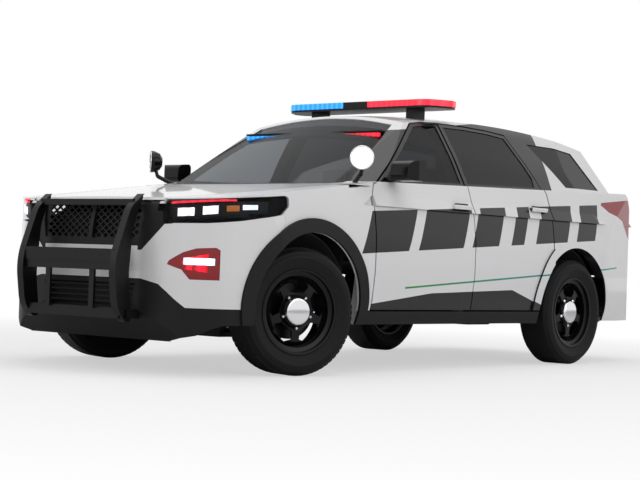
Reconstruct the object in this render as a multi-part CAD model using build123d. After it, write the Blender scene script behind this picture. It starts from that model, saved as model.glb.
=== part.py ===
from build123d import *
from functools import lru_cache
import math
import os

os.makedirs("parts", exist_ok=True)

# A four-door police sport utility vehicle: push bumper, roof light bar, front wheels turned to the right.
# Driving dimensions, in millimetres. A station is a distance behind the front axle.
WHEELBASE = 3025
FRONT_OVERHANG = 905
REAR_OVERHANG = 1119
GUARD_REACH = 195
TRACK = 1700
TYRE_RADIUS = 384
HUB_CAP_RADIUS = 82
STEER_REST_DEG = -18
STRUCTURE_FRONT = -862
BODY_HALF = 986
ARCH_RADIUS = 474
CLADDING_RADIUS = 560
CLADDING_PROUD = 15
SKIN = 14
HOOD_WALL = 28
SHOULDER_WALL = 30
DOOR_WALL = 80
FRAME_WALL = 22
PILLAR_WALL = 48
GLASS_WALL = 5
GLASS_DEPTH = 5
DOOR_GAP = 10
PANEL_GAP = 7
SEAT_GAP = 0.3
SILL_Z = 392
MIRROR_REACH = 1134
FAR = 2600

AXLE_X = (WHEELBASE + REAR_OVERHANG - FRONT_OVERHANG - GUARD_REACH) / 2
REAR_AXLE = WHEELBASE
WHEEL_Y = TRACK / 2
TAIL = WHEELBASE + REAR_OVERHANG
NOSE = -FRONT_OVERHANG


def at(station):
    """The x of a station: the origin is under the middle of the whole length."""
    return AXLE_X - station


def both(shape):
    """A left piece and its mirror image on the right."""
    return [shape, shape.mirror(Plane.XZ)]


def upright(solid):
    """The solid with its faces turned outwards."""
    return solid if solid.volume > 0 else -solid


def save(name, *shapes):
    solids = [upright(solid) for shape in shapes for solid in shape.solids()]
    whole = solids[0] if len(solids) == 1 else Compound(children=solids)
    export_step(whole, f"parts/{name}.step")


def save_pair(name, shape):
    save(f"{name}_left", shape)
    save(f"{name}_right", shape.mirror(Plane.XZ))


def fused(shapes):
    shapes = list(shapes)
    return one(shapes[0].fuse(*shapes[1:])) if len(shapes) > 1 else shapes[0]


def one(shapes):
    """A single shape from whatever a cut or an overlap leaves."""
    solids = shapes.solids()
    return solids[0] if len(solids) == 1 else Compound(solids)


def common(shape, *tools):
    """What the shape shares with every tool."""
    for tool in tools:
        shape = one(shape & tool)
    return shape


def cut(shape, *tools):
    return one(shape.cut(*tools))


def fuse(shape, *tools):
    return one(shape.fuse(*tools))


def side_prism(outline, low=0.0, high=1300.0, grow=0.0):
    """A left prism across the vehicle on an outline in (station, z), grown or shrunk by a margin."""
    corners = grown([Vector(at(s), z) for s, z in outline], grow)
    wire = Wire.make_polygon([Vector(c.X, low, c.Y) for c in corners], close=True)
    return Solid.extrude(Face(wire), Vector(0, high - low, 0))


def plan_prism(outline, low=-100.0, high=2200.0, grow=0.0):
    """A prism standing on an outline in (station, y)."""
    corners = grown([Vector(at(s), y) for s, y in outline], grow)
    wire = Wire.make_polygon([Vector(c.X, c.Y, low) for c in corners], close=True)
    return Solid.extrude(Face(wire), Vector(0, 0, high - low))


def front_prism(outline, front, rear, grow=0.0):
    """A prism along the vehicle between two stations on an outline in (y, z)."""
    corners = grown([Vector(y, z) for y, z in outline], grow)
    wire = Wire.make_polygon([Vector(at(front), c.X, c.Y) for c in corners], close=True)
    return Solid.extrude(Face(wire), Vector(front - rear, 0, 0))


def block(front, rear, y_low, y_high, z_low, z_high):
    place = Location((at(rear), y_low, z_low))
    return Solid.make_box(rear - front, y_high - y_low, z_high - z_low).moved(place)


def rod(start, end, radius):
    """A round bar between two points given as (station, y, z)."""
    a = Vector(at(start[0]), start[1], start[2])
    b = Vector(at(end[0]), end[1], end[2])
    return Solid.make_cylinder(radius, (b - a).length, Plane(a, z_dir=b - a))


def disc(station, z, radius, y_low, y_high):
    """A cylinder across the vehicle."""
    return Solid.make_cylinder(radius, y_high - y_low, Plane((at(station), y_low, z), z_dir=(0, 1, 0)))


def signed_area(points):
    ring = zip(points, points[1:] + points[:1])
    return sum(a.X * b.Y - b.X * a.Y for a, b in ring) / 2


def grown(points, margin):
    """The corners of a closed outline with every side moved outwards by the margin."""
    if not margin:
        return points
    sense = 1 if signed_area(points) > 0 else -1
    moved = []
    for before, here, after in zip(points[-1:] + points[:-1], points, points[1:] + points[:1]):
        a = (here - before).normalized()
        b = (after - here).normalized()
        normals = Vector(a.Y + b.Y, -a.X - b.X) * sense
        moved.append(here + normals * (margin / (1 + a.dot(b))))
    return moved


def rounded(corners, radii, z):
    """A closed wire at a height through the corners, each one rounded to its radius."""
    edges = []
    ends = []
    for before, here, after in zip(corners[-1:] + corners[:-1], corners, corners[1:] + corners[:1]):
        a = (here - before).normalized()
        b = (after - here).normalized()
        radius = radii[len(ends)]
        turn = math.acos(max(-1.0, min(1.0, a.dot(b))))
        reach = radius * math.tan(turn / 2)
        inward = (b - a).normalized()
        bulge = radius / math.cos(turn / 2) - radius
        start, middle, end = here - a * reach, here + inward * bulge, here + b * reach
        ends.append([Vector(p.X, p.Y, z) for p in (start, middle, end)])
    for (start, middle, end), following in zip(ends, ends[1:] + ends[:1]):
        edges.append(Edge.make_three_point_arc(start, middle, end))
        edges.append(Edge.make_line(end, following[0]))
    return Wire(edges)


# The lower body is what three outlines share. Columns: two coordinates and a corner radius.
# From above, a left half as (station, y, radius).
PLAN_ROWS = [
    (-905, 330, 800), (-862, 640, 260), (-690, 880, 220), (-300, 994, 500), (3420, 994, 1200),
    (4050, 858, 150), (4122, 560, 700), (4144, 250, 700),
]
# From the front, a left half as (y, z, radius).
SECTION_ROWS = [
    (850, 20, 1), (884, 150, 300), (962, 420, 700), (986, 640, 900), (986, 850, 900),
    (960, 1060, 900), (893, 1260, 600), (806, 1460, 1),
]
# From the side, as (station, z, radius).
PROFILE_ROWS = [
    (-700, 20, 1), (-782, 150, 60), (-892, 330, 300), (-912, 640, 900), (-898, 850, 600),
    (-868, 985, 50), (-812, 1052, 120), (700, 1262, 1), (700, 1460, 1), (3800, 1460, 1),
    (3922, 1280, 300), (4084, 1010, 400), (4150, 660, 400), (4128, 330, 300), (4040, 150, 60), (3960, 20, 1),
]
# The cabin from the front, a left half as (y, z, radius).
CABIN_SECTION_ROWS = [
    (976, 1050, 1), (783, 1426, 1500), (628, 1672, 400), (470, 1840, 1),
]
HOOD_LINE = ((-820, 1030), (640, 1216))
HOOD_CROWN = 25000
WINDSHIELD_LINE = ((345, 1165), (1245, 1672))
WINDSHIELD_BOW = 4400
REAR_GLASS_LINE = ((3988, 1190), (3704, 1650))
REAR_GLASS_BOW = 6000
ROOF_LINE = ((1300, 1704), (2350, 1764), (3600, 1690))
ROOF_CROWN = 3400
# Three points of the plane on each windshield pillar and each rear corner, as (station, y, z).
PILLAR_PLANE = ((578, 777, 1190), (1245, 597, 1650), (704, 905, 1190))
CORNER_PLANE = ((3300, 900, 1190), (3300, 628, 1650), (3760, 835, 1190))


def flat_prism(corners, radii, plane, length, inset):
    """A prism on a rounded outline drawn on a plane, moved inwards all round."""
    wire = rounded(grown([Vector(a, b) for a, b in corners], -inset), [max(r - inset, 1) for r in radii], 0)
    return Solid.extrude(Face(plane.from_local_coords(wire)), plane.z_dir * length)


def mirror_rows(rows, axis):
    """Rows of a left half, closed through the right side; axis is the place of y in a row."""
    other = [tuple(-v if i == axis else v for i, v in enumerate(row)) for row in reversed(rows) if row[axis] > 0]
    return list(rows) + other


@lru_cache(maxsize=None)
def lower_loft(inset):
    """The lower body before its crowned top and its belt are cut."""
    plan = mirror_rows(PLAN_ROWS, 1)
    section = mirror_rows(SECTION_ROWS, 0)
    top_plane = Plane((0, 0, 0), x_dir=(1, 0, 0), z_dir=(0, 0, 1))
    front_plane = Plane((at(-1300), 0, 0), x_dir=(0, -1, 0), z_dir=(-1, 0, 0))
    side_plane = Plane((0, 1300, 0), x_dir=(1, 0, 0), z_dir=(0, -1, 0))
    solid = flat_prism([(at(s), y) for s, y, r in plan], [r for s, y, r in plan], top_plane, 1600, inset)
    across = flat_prism([(-y, z) for y, z, r in section], [r for y, z, r in section], front_plane, 6000, inset)
    along = flat_prism(
        [(at(s), z) for s, z, r in PROFILE_ROWS], [r for s, z, r in PROFILE_ROWS], side_plane, 2600, inset
    )
    return common(solid, across, along)


def bowed_space(line, bow, inset, half=1250, reach=3600):
    """The space outside a surface that is straight along a side-view line and bowed across."""
    (s0, z0), (s1, z1) = line
    start = Vector(at(s0), 0, z0)
    along = (Vector(at(s1), 0, z1) - start).normalized()
    out = Vector(0, 1, 0).cross(along)
    if out.Z < 0:
        out = out * -1
    drop = half * half / (2 * bow)
    base = start - along * (reach / 2) - out * inset
    left, right = base + Vector(0, half, 0) - out * drop, base - Vector(0, half, 0) - out * drop
    arc = Edge.make_three_point_arc(left, base, right)
    far = [right + out * 1500, left + out * 1500]
    wire = Wire([arc, Edge.make_line(right, far[0]), Edge.make_line(*far), Edge.make_line(far[1], left)])
    return Solid.extrude(Face(wire), along * reach)


def beyond_plane(points, inset):
    """The space outside a plane through three points, on the left."""
    a, b, c = [Vector(at(s), y, z) for s, y, z in points]
    out = (b - a).cross(c - a).normalized()
    if out.Y < 0:
        out = out * -1
    place = Plane(a - out * inset, x_dir=(b - a).normalized(), z_dir=out)
    return Solid.make_box(4000, 4000, 1500, place.offset(0)).moved(
        Location(place.x_dir * -2000 + place.y_dir * -2000)
    )


@lru_cache(maxsize=None)
def above_roof(lower):
    """The space over the roof, which curves both along and across the vehicle."""
    (s0, z0), (s1, z1), (s2, z2) = ROOF_LINE
    a, b, c = Vector(at(s0), z0), Vector(at(s1), z1), Vector(at(s2), z2)
    d = 2 * (a.X * (b.Y - c.Y) + b.X * (c.Y - a.Y) + c.X * (a.Y - b.Y))
    squares = [p.X * p.X + p.Y * p.Y for p in (a, b, c)]
    cx = (squares[0] * (b.Y - c.Y) + squares[1] * (c.Y - a.Y) + squares[2] * (a.Y - b.Y)) / d
    cz = (squares[0] * (c.X - b.X) + squares[1] * (a.X - c.X) + squares[2] * (b.X - a.X)) / d
    radius = math.hypot(b.X - cx, b.Y - cz)
    top = cz + radius - lower
    half = 1000
    drop = half * half / (2 * ROOF_CROWN)
    left, middle, right = Vector(cx, half, top - drop), Vector(cx, 0, top), Vector(cx, -half, top - drop)
    far = [Vector(cx, -half, top + 700), Vector(cx, half, top + 700)]
    wire = Wire([
        Edge.make_three_point_arc(left, middle, right), Edge.make_line(right, far[0]),
        Edge.make_line(*far), Edge.make_line(far[1], left),
    ])
    axis = Axis((cx, 0, cz), (0, 1, 0))
    return Solid.revolve(Face(wire), 26, axis).rotate(axis, -13)


BELT_FRONT = (640, 1204)
BELT_REAR = (3000, 1277)
BELT_SLOPE = (BELT_REAR[1] - BELT_FRONT[1]) / (BELT_REAR[0] - BELT_FRONT[0])


def belt_z(station):
    return BELT_FRONT[1] + BELT_SLOPE * (station - BELT_FRONT[0])


def over_belt(shift=0.0, front=BELT_FRONT[0]):
    """The space above the belt line from a station to the tail, across the whole width."""
    outline = [(front, belt_z(front) + shift), (4600, belt_z(4600) + shift), (4600, FAR), (front, FAR)]
    return side_prism(outline, -1300, 1300)


@lru_cache(maxsize=None)
def above_hood(lower):
    return bowed_space(HOOD_LINE, HOOD_CROWN, lower, 1250, 4800)


@lru_cache(maxsize=None)
def lower_solid(inset, top=0.0):
    return cut(lower_loft(inset), common(above_hood(top), block(-1400, 640, -1300, 1300, 900, 3000)), over_belt())


@lru_cache(maxsize=None)
def cabin_loft(inset):
    """The cabin before its roof is cut."""
    rows = mirror_rows(CABIN_SECTION_ROWS, 0)
    plane = Plane((at(-100), 0, 0), x_dir=(0, -1, 0), z_dir=(-1, 0, 0))
    solid = flat_prism([(-y, z) for y, z, r in rows], [r for y, z, r in rows], plane, 4300, inset)
    tools = [bowed_space(WINDSHIELD_LINE, WINDSHIELD_BOW, inset), bowed_space(REAR_GLASS_LINE, REAR_GLASS_BOW, inset)]
    for points in (PILLAR_PLANE, CORNER_PLANE):
        tools += both(beyond_plane(points, inset))
    return cut(solid, *tools)


@lru_cache(maxsize=None)
def cabin_solid(inset, top=0.0):
    return cut(cabin_loft(inset), above_roof(top))


@lru_cache(maxsize=None)
def left_lower(inset, top=0.0):
    return common(lower_solid(inset, top), LEFT_HALF)


@lru_cache(maxsize=None)
def left_cabin(inset, top=0.0):
    return common(cabin_solid(inset, top), LEFT_HALF)


LEFT_HALF = block(-1300, 4500, 0, 1300, 0, 2000)
LAMP_FACE = 3
LAMP_BACK = 42
ROOF_WALL = 36


@lru_cache(maxsize=None)
def outer_left():
    return fuse(left_lower(0), left_cabin(0))


@lru_cache(maxsize=None)
def inner_left():
    """The space inside the doors' trim and the pillars."""
    upper = common(left_cabin(PILLAR_WALL, ROOF_WALL), over_belt(-SHOULDER_WALL - 1, 500))
    return fuse(cut(left_lower(DOOR_WALL, HOOD_WALL), over_belt(-SHOULDER_WALL)), upper)


@lru_cache(maxsize=None)
def door_inner_left():
    upper = common(left_cabin(FRAME_WALL, ROOF_WALL), over_belt(-SHOULDER_WALL - 1, 500))
    return fuse(cut(left_lower(DOOR_WALL, HOOD_WALL), over_belt(-SHOULDER_WALL)), upper)


@lru_cache(maxsize=None)
def skin_shell():
    """The outer sheet of the lower body, on the left."""
    return cut(left_lower(0), left_lower(SKIN, SKIN))


@lru_cache(maxsize=None)
def lamp_layer():
    """The layer behind the skin that lamps and grille fill, on the left."""
    return cut(left_lower(LAMP_FACE, LAMP_FACE), left_lower(LAMP_BACK, LAMP_BACK))


def arch_cut(station):
    return disc(station, TYRE_RADIUS, ARCH_RADIUS, 560, 1300)


def largest(shape):
    return shape.solids().sort_by(SortBy.VOLUME)[-1]


def whole(left):
    """A piece across the vehicle, from its left half."""
    return fuse(left, left.mirror(Plane.XZ))


# Outlines in (station, z) of the doors and windows, drawn on the middle of their gaps.
A_FOOT = (716, 1206)
A_HEAD = (1352, 1642)
B_STATION = 1698
FRONT_EDGE = 600
REAR_EDGE = 2704
FRONT_DOOR = [
    (FRONT_EDGE, SILL_Z), (FRONT_EDGE, 1120), (640, 1192), A_FOOT, A_HEAD, (1500, 1662),
    (B_STATION - 24, 1672), (B_STATION - 9, 1650), (B_STATION - 9, 1250), (B_STATION, 1220), (B_STATION, SILL_Z),
]
FRONT_OPENING = FRONT_DOOR[:6] + [(B_STATION, 1672), (B_STATION, SILL_Z)]
REAR_DOOR = [
    (B_STATION, SILL_Z), (B_STATION, 1672), (2000, 1677), (2300, 1671), (2515, 1656), (2668, 1330),
    (REAR_EDGE, 1235), (REAR_EDGE, 700), (2560, SILL_Z),
]
FRONT_WINDOW = [(796, 1228), (1374, 1620), (1500, 1638), (1655, 1646), (1655, belt_z(1655) + 16)]
REAR_WINDOW = [
    (1742, belt_z(1742) + 16), (1742, 1648), (2000, 1653), (2290, 1647), (2490, 1630), (2622, 1344),
    (2604, belt_z(2604) + 16),
]
QUARTER_WINDOW = [(2775, 1612), (3120, 1612), (3440, 1592), (3655, 1318), (3060, belt_z(3060) + 28)]


def glass_layer():
    return cut(left_cabin(GLASS_DEPTH, 20), left_cabin(GLASS_DEPTH + GLASS_WALL, 20))


def half_ring(station, inner, outer):
    """The upper part of a ring round a left wheel, down to the sill."""
    ring = cut(disc(station, TYRE_RADIUS, outer, 600, 1300), disc(station, TYRE_RADIUS, inner, 500, 1400))
    return common(ring, block(station - outer, station + outer, 600, 1300, SILL_BOTTOM, 1200))


SILL_BOTTOM = 304


@lru_cache(maxsize=None)
def proud_layer():
    """The cladding's layer, which hugs the body's side just outside the skin."""
    side = block(-700, 4100, 600, 1300, SILL_BOTTOM, 1100)
    return cut(common(left_lower(-CLADDING_PROUD), side), left_lower(0))


def arch_cladding(station):
    return common(proud_layer(), half_ring(station, ARCH_RADIUS, CLADDING_RADIUS))


def door_shell(outline, window):
    """A door between its outer skin and its trim, with the window cut out of its frame."""
    opening = side_prism(outline, 300, 1300, -DOOR_GAP / 2)
    holes = [side_prism(window, 300, 1300), roof_region(6), windshield_zone(0)]
    panel = cut(common(outer_left(), opening), door_inner_left(), *holes)
    return largest(panel)


def make_doors():
    front = door_shell(FRONT_DOOR, FRONT_WINDOW)
    rear = cut(door_shell(REAR_DOOR, REAR_WINDOW), arch_cut(REAR_AXLE))
    lip = side_prism(REAR_DOOR, 300, 1300, -DOOR_GAP / 2)
    rear = fuse(rear, common(arch_cladding(REAR_AXLE), lip))
    save_pair("door_front", front)
    save_pair("door_rear", rear)
    panes = glass_layer()
    save_pair("glass_front", common(panes, side_prism(FRONT_WINDOW, 300, 1300)))
    save_pair("glass_rear", common(panes, side_prism(REAR_WINDOW, 300, 1300)))
    save_pair("quarter_glass", common(panes, side_prism(QUARTER_WINDOW, 300, 1300)))


def mirrored(outline):
    """A left half outline in plan, closed through the right side."""
    return outline + [(s, -y) for s, y in reversed(outline) if y > 0]


def mirrored_front(outline):
    return outline + [(-y, z) for y, z in reversed(outline) if y > 0]


# The hood in plan, as (station, y), its cowl edge bowed round the foot of the windshield.
HOOD_LEFT = [
    (-1100, 0), (-1100, 566), (-830, 566), (-220, 748), (300, 812), (478, 800), (420, 620), (330, 400),
    (262, 140), (262, 0),
]
HOOD_FRONT_Z = 1004


def hood_region(grow=0.0):
    return plan_prism(mirrored(HOOD_LEFT), HOOD_FRONT_Z - grow, 1300, grow)


def make_hood():
    under = cut(block(-1200, 700, -10, 1000, 900, 1300), above_hood(HOOD_WALL))
    left = cut(common(left_lower(0), hood_region(-PANEL_GAP / 2)), under, cabin_loft(-PANEL_GAP))
    save("hood", whole(largest(left)))


# Lamp and opening outlines of the nose: side views as (station, z) and front views as (y, z).
HEADLAMP_SIDE = [
    (-1000, 868), (-745, 880), (-560, 902), (-292, 948), (-225, 1000), (-218, 1050), (-240, 1064),
    (-820, 1014), (-1000, 1008),
]
HEADLAMP_INNER_Y = 575
GRILLE_FRONT = [(0, 996), (446, 996), (446, 900), (420, 764), (0, 764)]
MASK_FRONT = [(0, 999), (534, 999), (534, 944), (640, 944), (640, 872), (590, 868), (430, 716), (400, 716), (400, 740), (0, 740)]
INTAKE_FRONT = [(0, 522), (394, 522), (366, 372), (0, 372)]
FASCIA_FRONT = [
    (0, 552), (430, 552), (560, 524), (620, 480), (716, 394), (1300, 392), (1300, 100), (0, 100),
]
CORNER_FRONT = [(560, 100), (600, 200), (760, 236), (880, 300), (1300, 300), (1300, 100)]
RED_LAMP_FRONT = [
    (612, 640), (622, 660), (700, 712), (760, 735), (850, 742), (866, 728), (866, 556), (730, 556),
    (690, 612),
]
BUMPER_SPLIT = [(-1300, 1004), (-262, 956), (-300, 700), (-300, 100), (-1300, 100)]
PILLAR_SPLIT = [(380, 1150), (FRONT_EDGE - DOOR_GAP / 2, 1172), (FRONT_EDGE - DOOR_GAP / 2, 1500), (380, 1500)]
FASCIA_BOTTOM = 196


def front_zone(outline, grow=0.0, front=-1300, rear=-380):
    return front_prism(outline, front, rear, grow)


def make_front_end():
    shell = common(skin_shell(), block(-1300, FRONT_EDGE - DOOR_GAP / 2, 0, 1300, FASCIA_BOTTOM, 1300))
    shell = cut(shell, hood_region(PANEL_GAP / 2), arch_cut(0))
    lamp_gap = side_prism(HEADLAMP_SIDE, HEADLAMP_INNER_Y, 1300)
    fascia = front_zone(mirrored_front(FASCIA_FRONT), 0, -1300, 0)
    bumper_side = side_prism(BUMPER_SPLIT, -10, 1300)
    bumper = common(shell, bumper_side)
    cover = cut(bumper, fascia, front_zone(MASK_FRONT), lamp_gap, front_zone(RED_LAMP_FRONT))
    save("front_bumper", whole(largest(cover)))
    make_fascia(common(bumper, fascia))
    gaps = [side_prism(BUMPER_SPLIT, -10, 1300, 1.5), lamp_gap, side_prism(PILLAR_SPLIT, 0, 1300, 2)]
    fender = cut(common(shell, block(-1200, FRONT_EDGE, 540, 1300, SILL_Z, 1300)), *gaps, cabin_loft(-2))
    save_pair("front_fender", largest(fender))
    lamp = side_prism(HEADLAMP_SIDE, HEADLAMP_INNER_Y, 1300)
    save_pair("headlamp", largest(cut(common(lamp_layer(), lamp), hood_region(PANEL_GAP / 2 + 2))))
    save_pair("bumper_warning_lamp", largest(common(lamp_layer(), front_zone(RED_LAMP_FRONT))))
    make_grille(lamp_gap)


MESH_CELL = 58
MESH_BAR = 11
MESH_WALL = 12
MESH_FRONT = -872
MESH_TILT_DEG = 6


def in_grille(y, z):
    """Whether a mesh opening lies inside the grille's frame."""
    return 784 < z < 978 and abs(y) < 404


def make_grille(lamp_gap):
    region = front_zone(MASK_FRONT)
    frame = common(lamp_layer(), region)
    frame = cut(frame, front_zone(GRILLE_FRONT, -16), lamp_gap, hood_region(PANEL_GAP / 2 + 2))
    frame = whole(largest(frame))
    save("grille", fuse(frame, grille_mesh()))


def grille_mesh():
    """A flat leaned mesh of diamond openings in staggered rows."""
    outer = [(-436, 752), (-462, 1000), (462, 1000), (436, 752)]
    half_y, half_z = MESH_CELL / 2 - MESH_BAR / 2, MESH_CELL * 0.36 - MESH_BAR / 2
    holes = []
    for row in range(-6, 7):
        for column in range(-8, 9):
            y = (column + (row % 2) / 2) * MESH_CELL
            z = 880 + row * MESH_CELL * 0.36
            if in_grille(y, z):
                diamond = [(y - half_y, z), (y, z + half_z), (y + half_y, z), (y, z - half_z)]
                holes.append(front_wire(diamond))
    face = Face(front_wire(outer), holes)
    plate = Solid.extrude(face, Vector(-MESH_WALL, 0, 0))
    lean = Axis((at(MESH_FRONT), 0, 880), (0, 1, 0))
    return plate.rotate(lean, -MESH_TILT_DEG)


def front_wire(outline):
    return Wire.make_polygon([Vector(at(MESH_FRONT), y, z) for y, z in outline], close=True)


SLAT_ROWS = [404, 436, 468, 500]


def make_fascia(lower):
    bars = [block(-893, -868, -410, 410, z, z + 10) for z in SLAT_ROWS]
    arm = block(-1000, -700, GUARD_Y - 22, GUARD_Y + 22, GUARD_ARM_Z - 26, GUARD_ARM_Z + 26)
    cover = whole(largest(cut(lower, front_zone(INTAKE_FRONT), arm, front_zone(CORNER_FRONT, 0, -1300, 0))))
    save("front_lower_fascia", largest(fuse(cover, *bars)))


# The push bumper: upright plates as (station, z, corner radius), and what they carry.
GUARD_Y = 402
GUARD_PLATE = 10
GUARD_FLANGE = 52
GUARD_ARM_Z = 345
UPRIGHT = [
    (-872, 1052, 12), (-980, 962, 150), (-1098, 640, 420), (-1062, 380, 160), (-1000, 300, 30),
    (-930, 300, 20), (-962, 560, 700), (-938, 860, 300), (-868, 1020, 12),
]
# Columns: front, rear, low and high of each cross bar.
GUARD_BARS = [(-945, -900, 972, 1008), (-1072, -1020, 640, 716), (-1030, -975, 318, 380)]
GUARD_LAMP = (-1066, -1026, 594, 640)


def side_plate(rows, y_low, y_high, shift=0.0):
    """A plate across the vehicle on rounded corners given as (station, z, radius)."""
    flat = rounded([Vector(at(s) - shift, z) for s, z, r in rows], [r for s, z, r in rows], 0)
    face = Face(flat).rotate(Axis((0, 0, 0), (1, 0, 0)), 90).moved(Location((0, y_low, 0)))
    return Solid.extrude(face, Vector(0, y_high - y_low, 0))


def make_push_bumper():
    plate = side_plate(UPRIGHT, GUARD_Y - GUARD_PLATE / 2, GUARD_Y + GUARD_PLATE / 2)
    wide = side_plate(UPRIGHT, GUARD_Y - GUARD_FLANGE / 2, GUARD_Y + GUARD_FLANGE / 2)
    flange = cut(wide, side_plate(UPRIGHT, GUARD_Y - GUARD_FLANGE, GUARD_Y + GUARD_FLANGE, 9))
    pieces = both(plate) + both(flange)
    for front, rear, low, high in GUARD_BARS:
        pieces.append(block(front, rear, -GUARD_Y, GUARD_Y, low, high))
    front, rear, low, high = GUARD_LAMP
    pieces.append(block(front, rear, -GUARD_Y + 30, GUARD_Y - 30, low, high))
    for y in (-190, 190):
        pieces.append(block(-1050, -1034, y - 20, y + 20, 372, 650))
    for y in (-GUARD_Y, GUARD_Y):
        pieces.append(block(-980, STRUCTURE_FRONT, y - 20, y + 20, GUARD_ARM_Z - 24, GUARD_ARM_Z + 24))
    save("push_bumper", fused(pieces))


# Rear outlines: the tailgate from behind as (y, z), the tail lamp from the side as (station, z).
TAILGATE_HALF = [(0, 655), (640, 655), (700, 720), (700, 960), (652, 1250), (508, 1660), (430, 1800), (0, 1800)]
TAIL_LAMP_SIDE = [
    (3462, 1196), (3478, 1216), (3900, 1256), (4300, 1262), (4300, 950), (3970, 950), (3800, 1090),
    (3560, 1146),
]
# What the tailgate's upper edges sweep as they rise.
GATE_SWEEP = [(0, 1236), (662, 1236), (668, 1250), (530, 1655), (450, 1800), (0, 1800)]
REAR_COVER_SIDE = [(3300, 100), (3300, 640), (3600, 648), (4400, 648), (4400, 100)]
REAR_BOTTOM = 318
TAILGATE_ROOF = 3560
REAR_WINDOW_BACK = [(0, 1268), (590, 1268), (575, 1330), (462, 1606), (0, 1622)]


def tail_zone(grow=0.0):
    return front_prism(mirrored_front(TAILGATE_HALF), TAILGATE_ROOF - grow, 4400, grow)


def make_tailgate():
    window = front_prism(mirrored_front(REAR_WINDOW_BACK), 3570, 4400)
    gate = cut(common(outer_left(), tail_zone(-DOOR_GAP / 2)), inner_left(), window)
    save("tailgate", whole(largest(gate)))
    pane = common(glass_layer(), window)
    save("tailgate_glass", whole(largest(pane)))


def make_tail_lamp():
    layer = common(outer_left(), side_prism(TAIL_LAMP_SIDE, 500, 1300))
    lamp = cut(layer, left_lower(DOOR_WALL, HOOD_WALL), left_cabin(PILLAR_WALL, ROOF_WALL))
    save_pair("tail_lamp", largest(cut(lamp, tail_zone(DOOR_GAP / 2 + 1))))


# The body sides meet the roof and the windshield on these plan halves, as (station, y).
ROOF_LEFT = [(1080, 0), (1080, 505), (1300, 536), (1700, 556), (3000, 548), (TAILGATE_ROOF, 508), (TAILGATE_ROOF, 0)]
WINDSHIELD_LEFT = [(240, 0), (330, 400), (452, 690), (592, 762), (1240, 584), (1264, 300), (1272, 0)]
SILL_DEPTH = 150
POST_FRONT = 1650
POST_REAR = 1752


def roof_region(grow=0.0):
    return plan_prism(mirrored(ROOF_LEFT), 1500, 1900, grow)


def windshield_zone(grow=0.0):
    return plan_prism(mirrored(WINDSHIELD_LEFT), 1130, 1900, grow)


def make_body_side():
    front = FRONT_EDGE - DOOR_GAP / 2
    main = common(outer_left(), block(380, 4400, 0, 1300, SILL_BOTTOM, 1900))
    openings = [
        side_prism(FRONT_OPENING, 300, 1300, DOOR_GAP / 2),
        side_prism(REAR_DOOR, 300, 1300, DOOR_GAP / 2),
        side_prism(QUARTER_WINDOW, 300, 1300),
        side_prism(TAIL_LAMP_SIDE, 500, 1300),
        side_prism(REAR_COVER_SIDE, -1300, 1300),
        block(0, front, 0, 1300, 0, 1172), block(0, 3700, -1300, 500, 0, 1500),
        roof_region(0), windshield_zone(0), tail_zone(DOOR_GAP / 2), arch_cut(REAR_AXLE),
        hood_region(PANEL_GAP / 2), front_prism(GATE_SWEEP, TAILGATE_ROOF - 6, 4400),
    ]
    main = largest(cut(main, inner_left(), *openings))
    sill_zone = block(500, 2540, BODY_HALF - SILL_DEPTH, 1300, SILL_BOTTOM, SILL_Z - DOOR_GAP / 2)
    sill = cut(common(left_lower(0), sill_zone), arch_cut(REAR_AXLE))
    pillar_zone = block(500, front, 600, 1300, SILL_BOTTOM, 1200)
    pillar = cut(common(left_lower(SKIN + 2, SKIN + 2), pillar_zone), left_lower(DOOR_WALL, HOOD_WALL),
                 windshield_zone(0), hood_region(PANEL_GAP / 2))
    save_pair("body_side", largest(fuse(main, sill, pillar, *door_post())))


def door_post():
    """The post behind the meeting edges of the doors, inboard of both."""
    zone = block(POST_FRONT, POST_REAR, 300, 1300, SILL_BOTTOM, 1900)
    low_zone = [(BODY_HALF - SILL_DEPTH + 6, SILL_BOTTOM), (BODY_HALF - SILL_DEPTH + 6, 1000), (760, 1250),
                (1300, 1250), (1300, SILL_BOTTOM)]
    low = common(left_lower(DOOR_WALL + 12), front_prism(low_zone, POST_FRONT, POST_REAR))
    high = cut(common(left_cabin(FRAME_WALL + 7, ROOF_WALL + 6), zone), left_cabin(FRAME_WALL + 52, ROOF_WALL + 16))
    return [low, cut(common(high, over_belt(8 - SHOULDER_WALL, 500)), roof_region(0))]


def make_roof():
    roof = cut(common(left_cabin(0), roof_region()), left_cabin(PILLAR_WALL, ROOF_WALL))
    roof = cut(roof, windshield_zone(0), tail_zone(DOOR_GAP / 2))
    save("roof_panel", whole(largest(roof)))
    pane = cut(common(left_cabin(4, 16), windshield_zone(0)), left_cabin(10, 16))
    pane = common(pane, block(300, 1300, 0, 800, 1160, 1720))
    save("windshield", whole(largest(pane)))


def make_rear_end():
    zone = block(3200, 4400, 0, 1300, REAR_BOTTOM, 700)
    cover = common(common(skin_shell(), zone), side_prism(REAR_COVER_SIDE, -10, 1300))
    save("rear_bumper", whole(largest(cut(cover, arch_cut(REAR_AXLE)))))


def make_cladding():
    rear = cut(arch_cladding(REAR_AXLE), side_prism(REAR_DOOR, 300, 1300, DOOR_GAP / 2))
    front = arch_cladding(0)
    sill_zone = block(400, 2640, 600, 1300, SILL_BOTTOM, SILL_Z - DOOR_GAP / 2)
    sill = cut(common(proud_layer(), sill_zone), arch_cut(0), arch_cut(REAR_AXLE))
    door_gap = side_prism(FRONT_DOOR, 300, 1300, DOOR_GAP / 2)
    save_pair("side_cladding", largest(fuse(cut(front, door_gap), sill, rear)))


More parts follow.
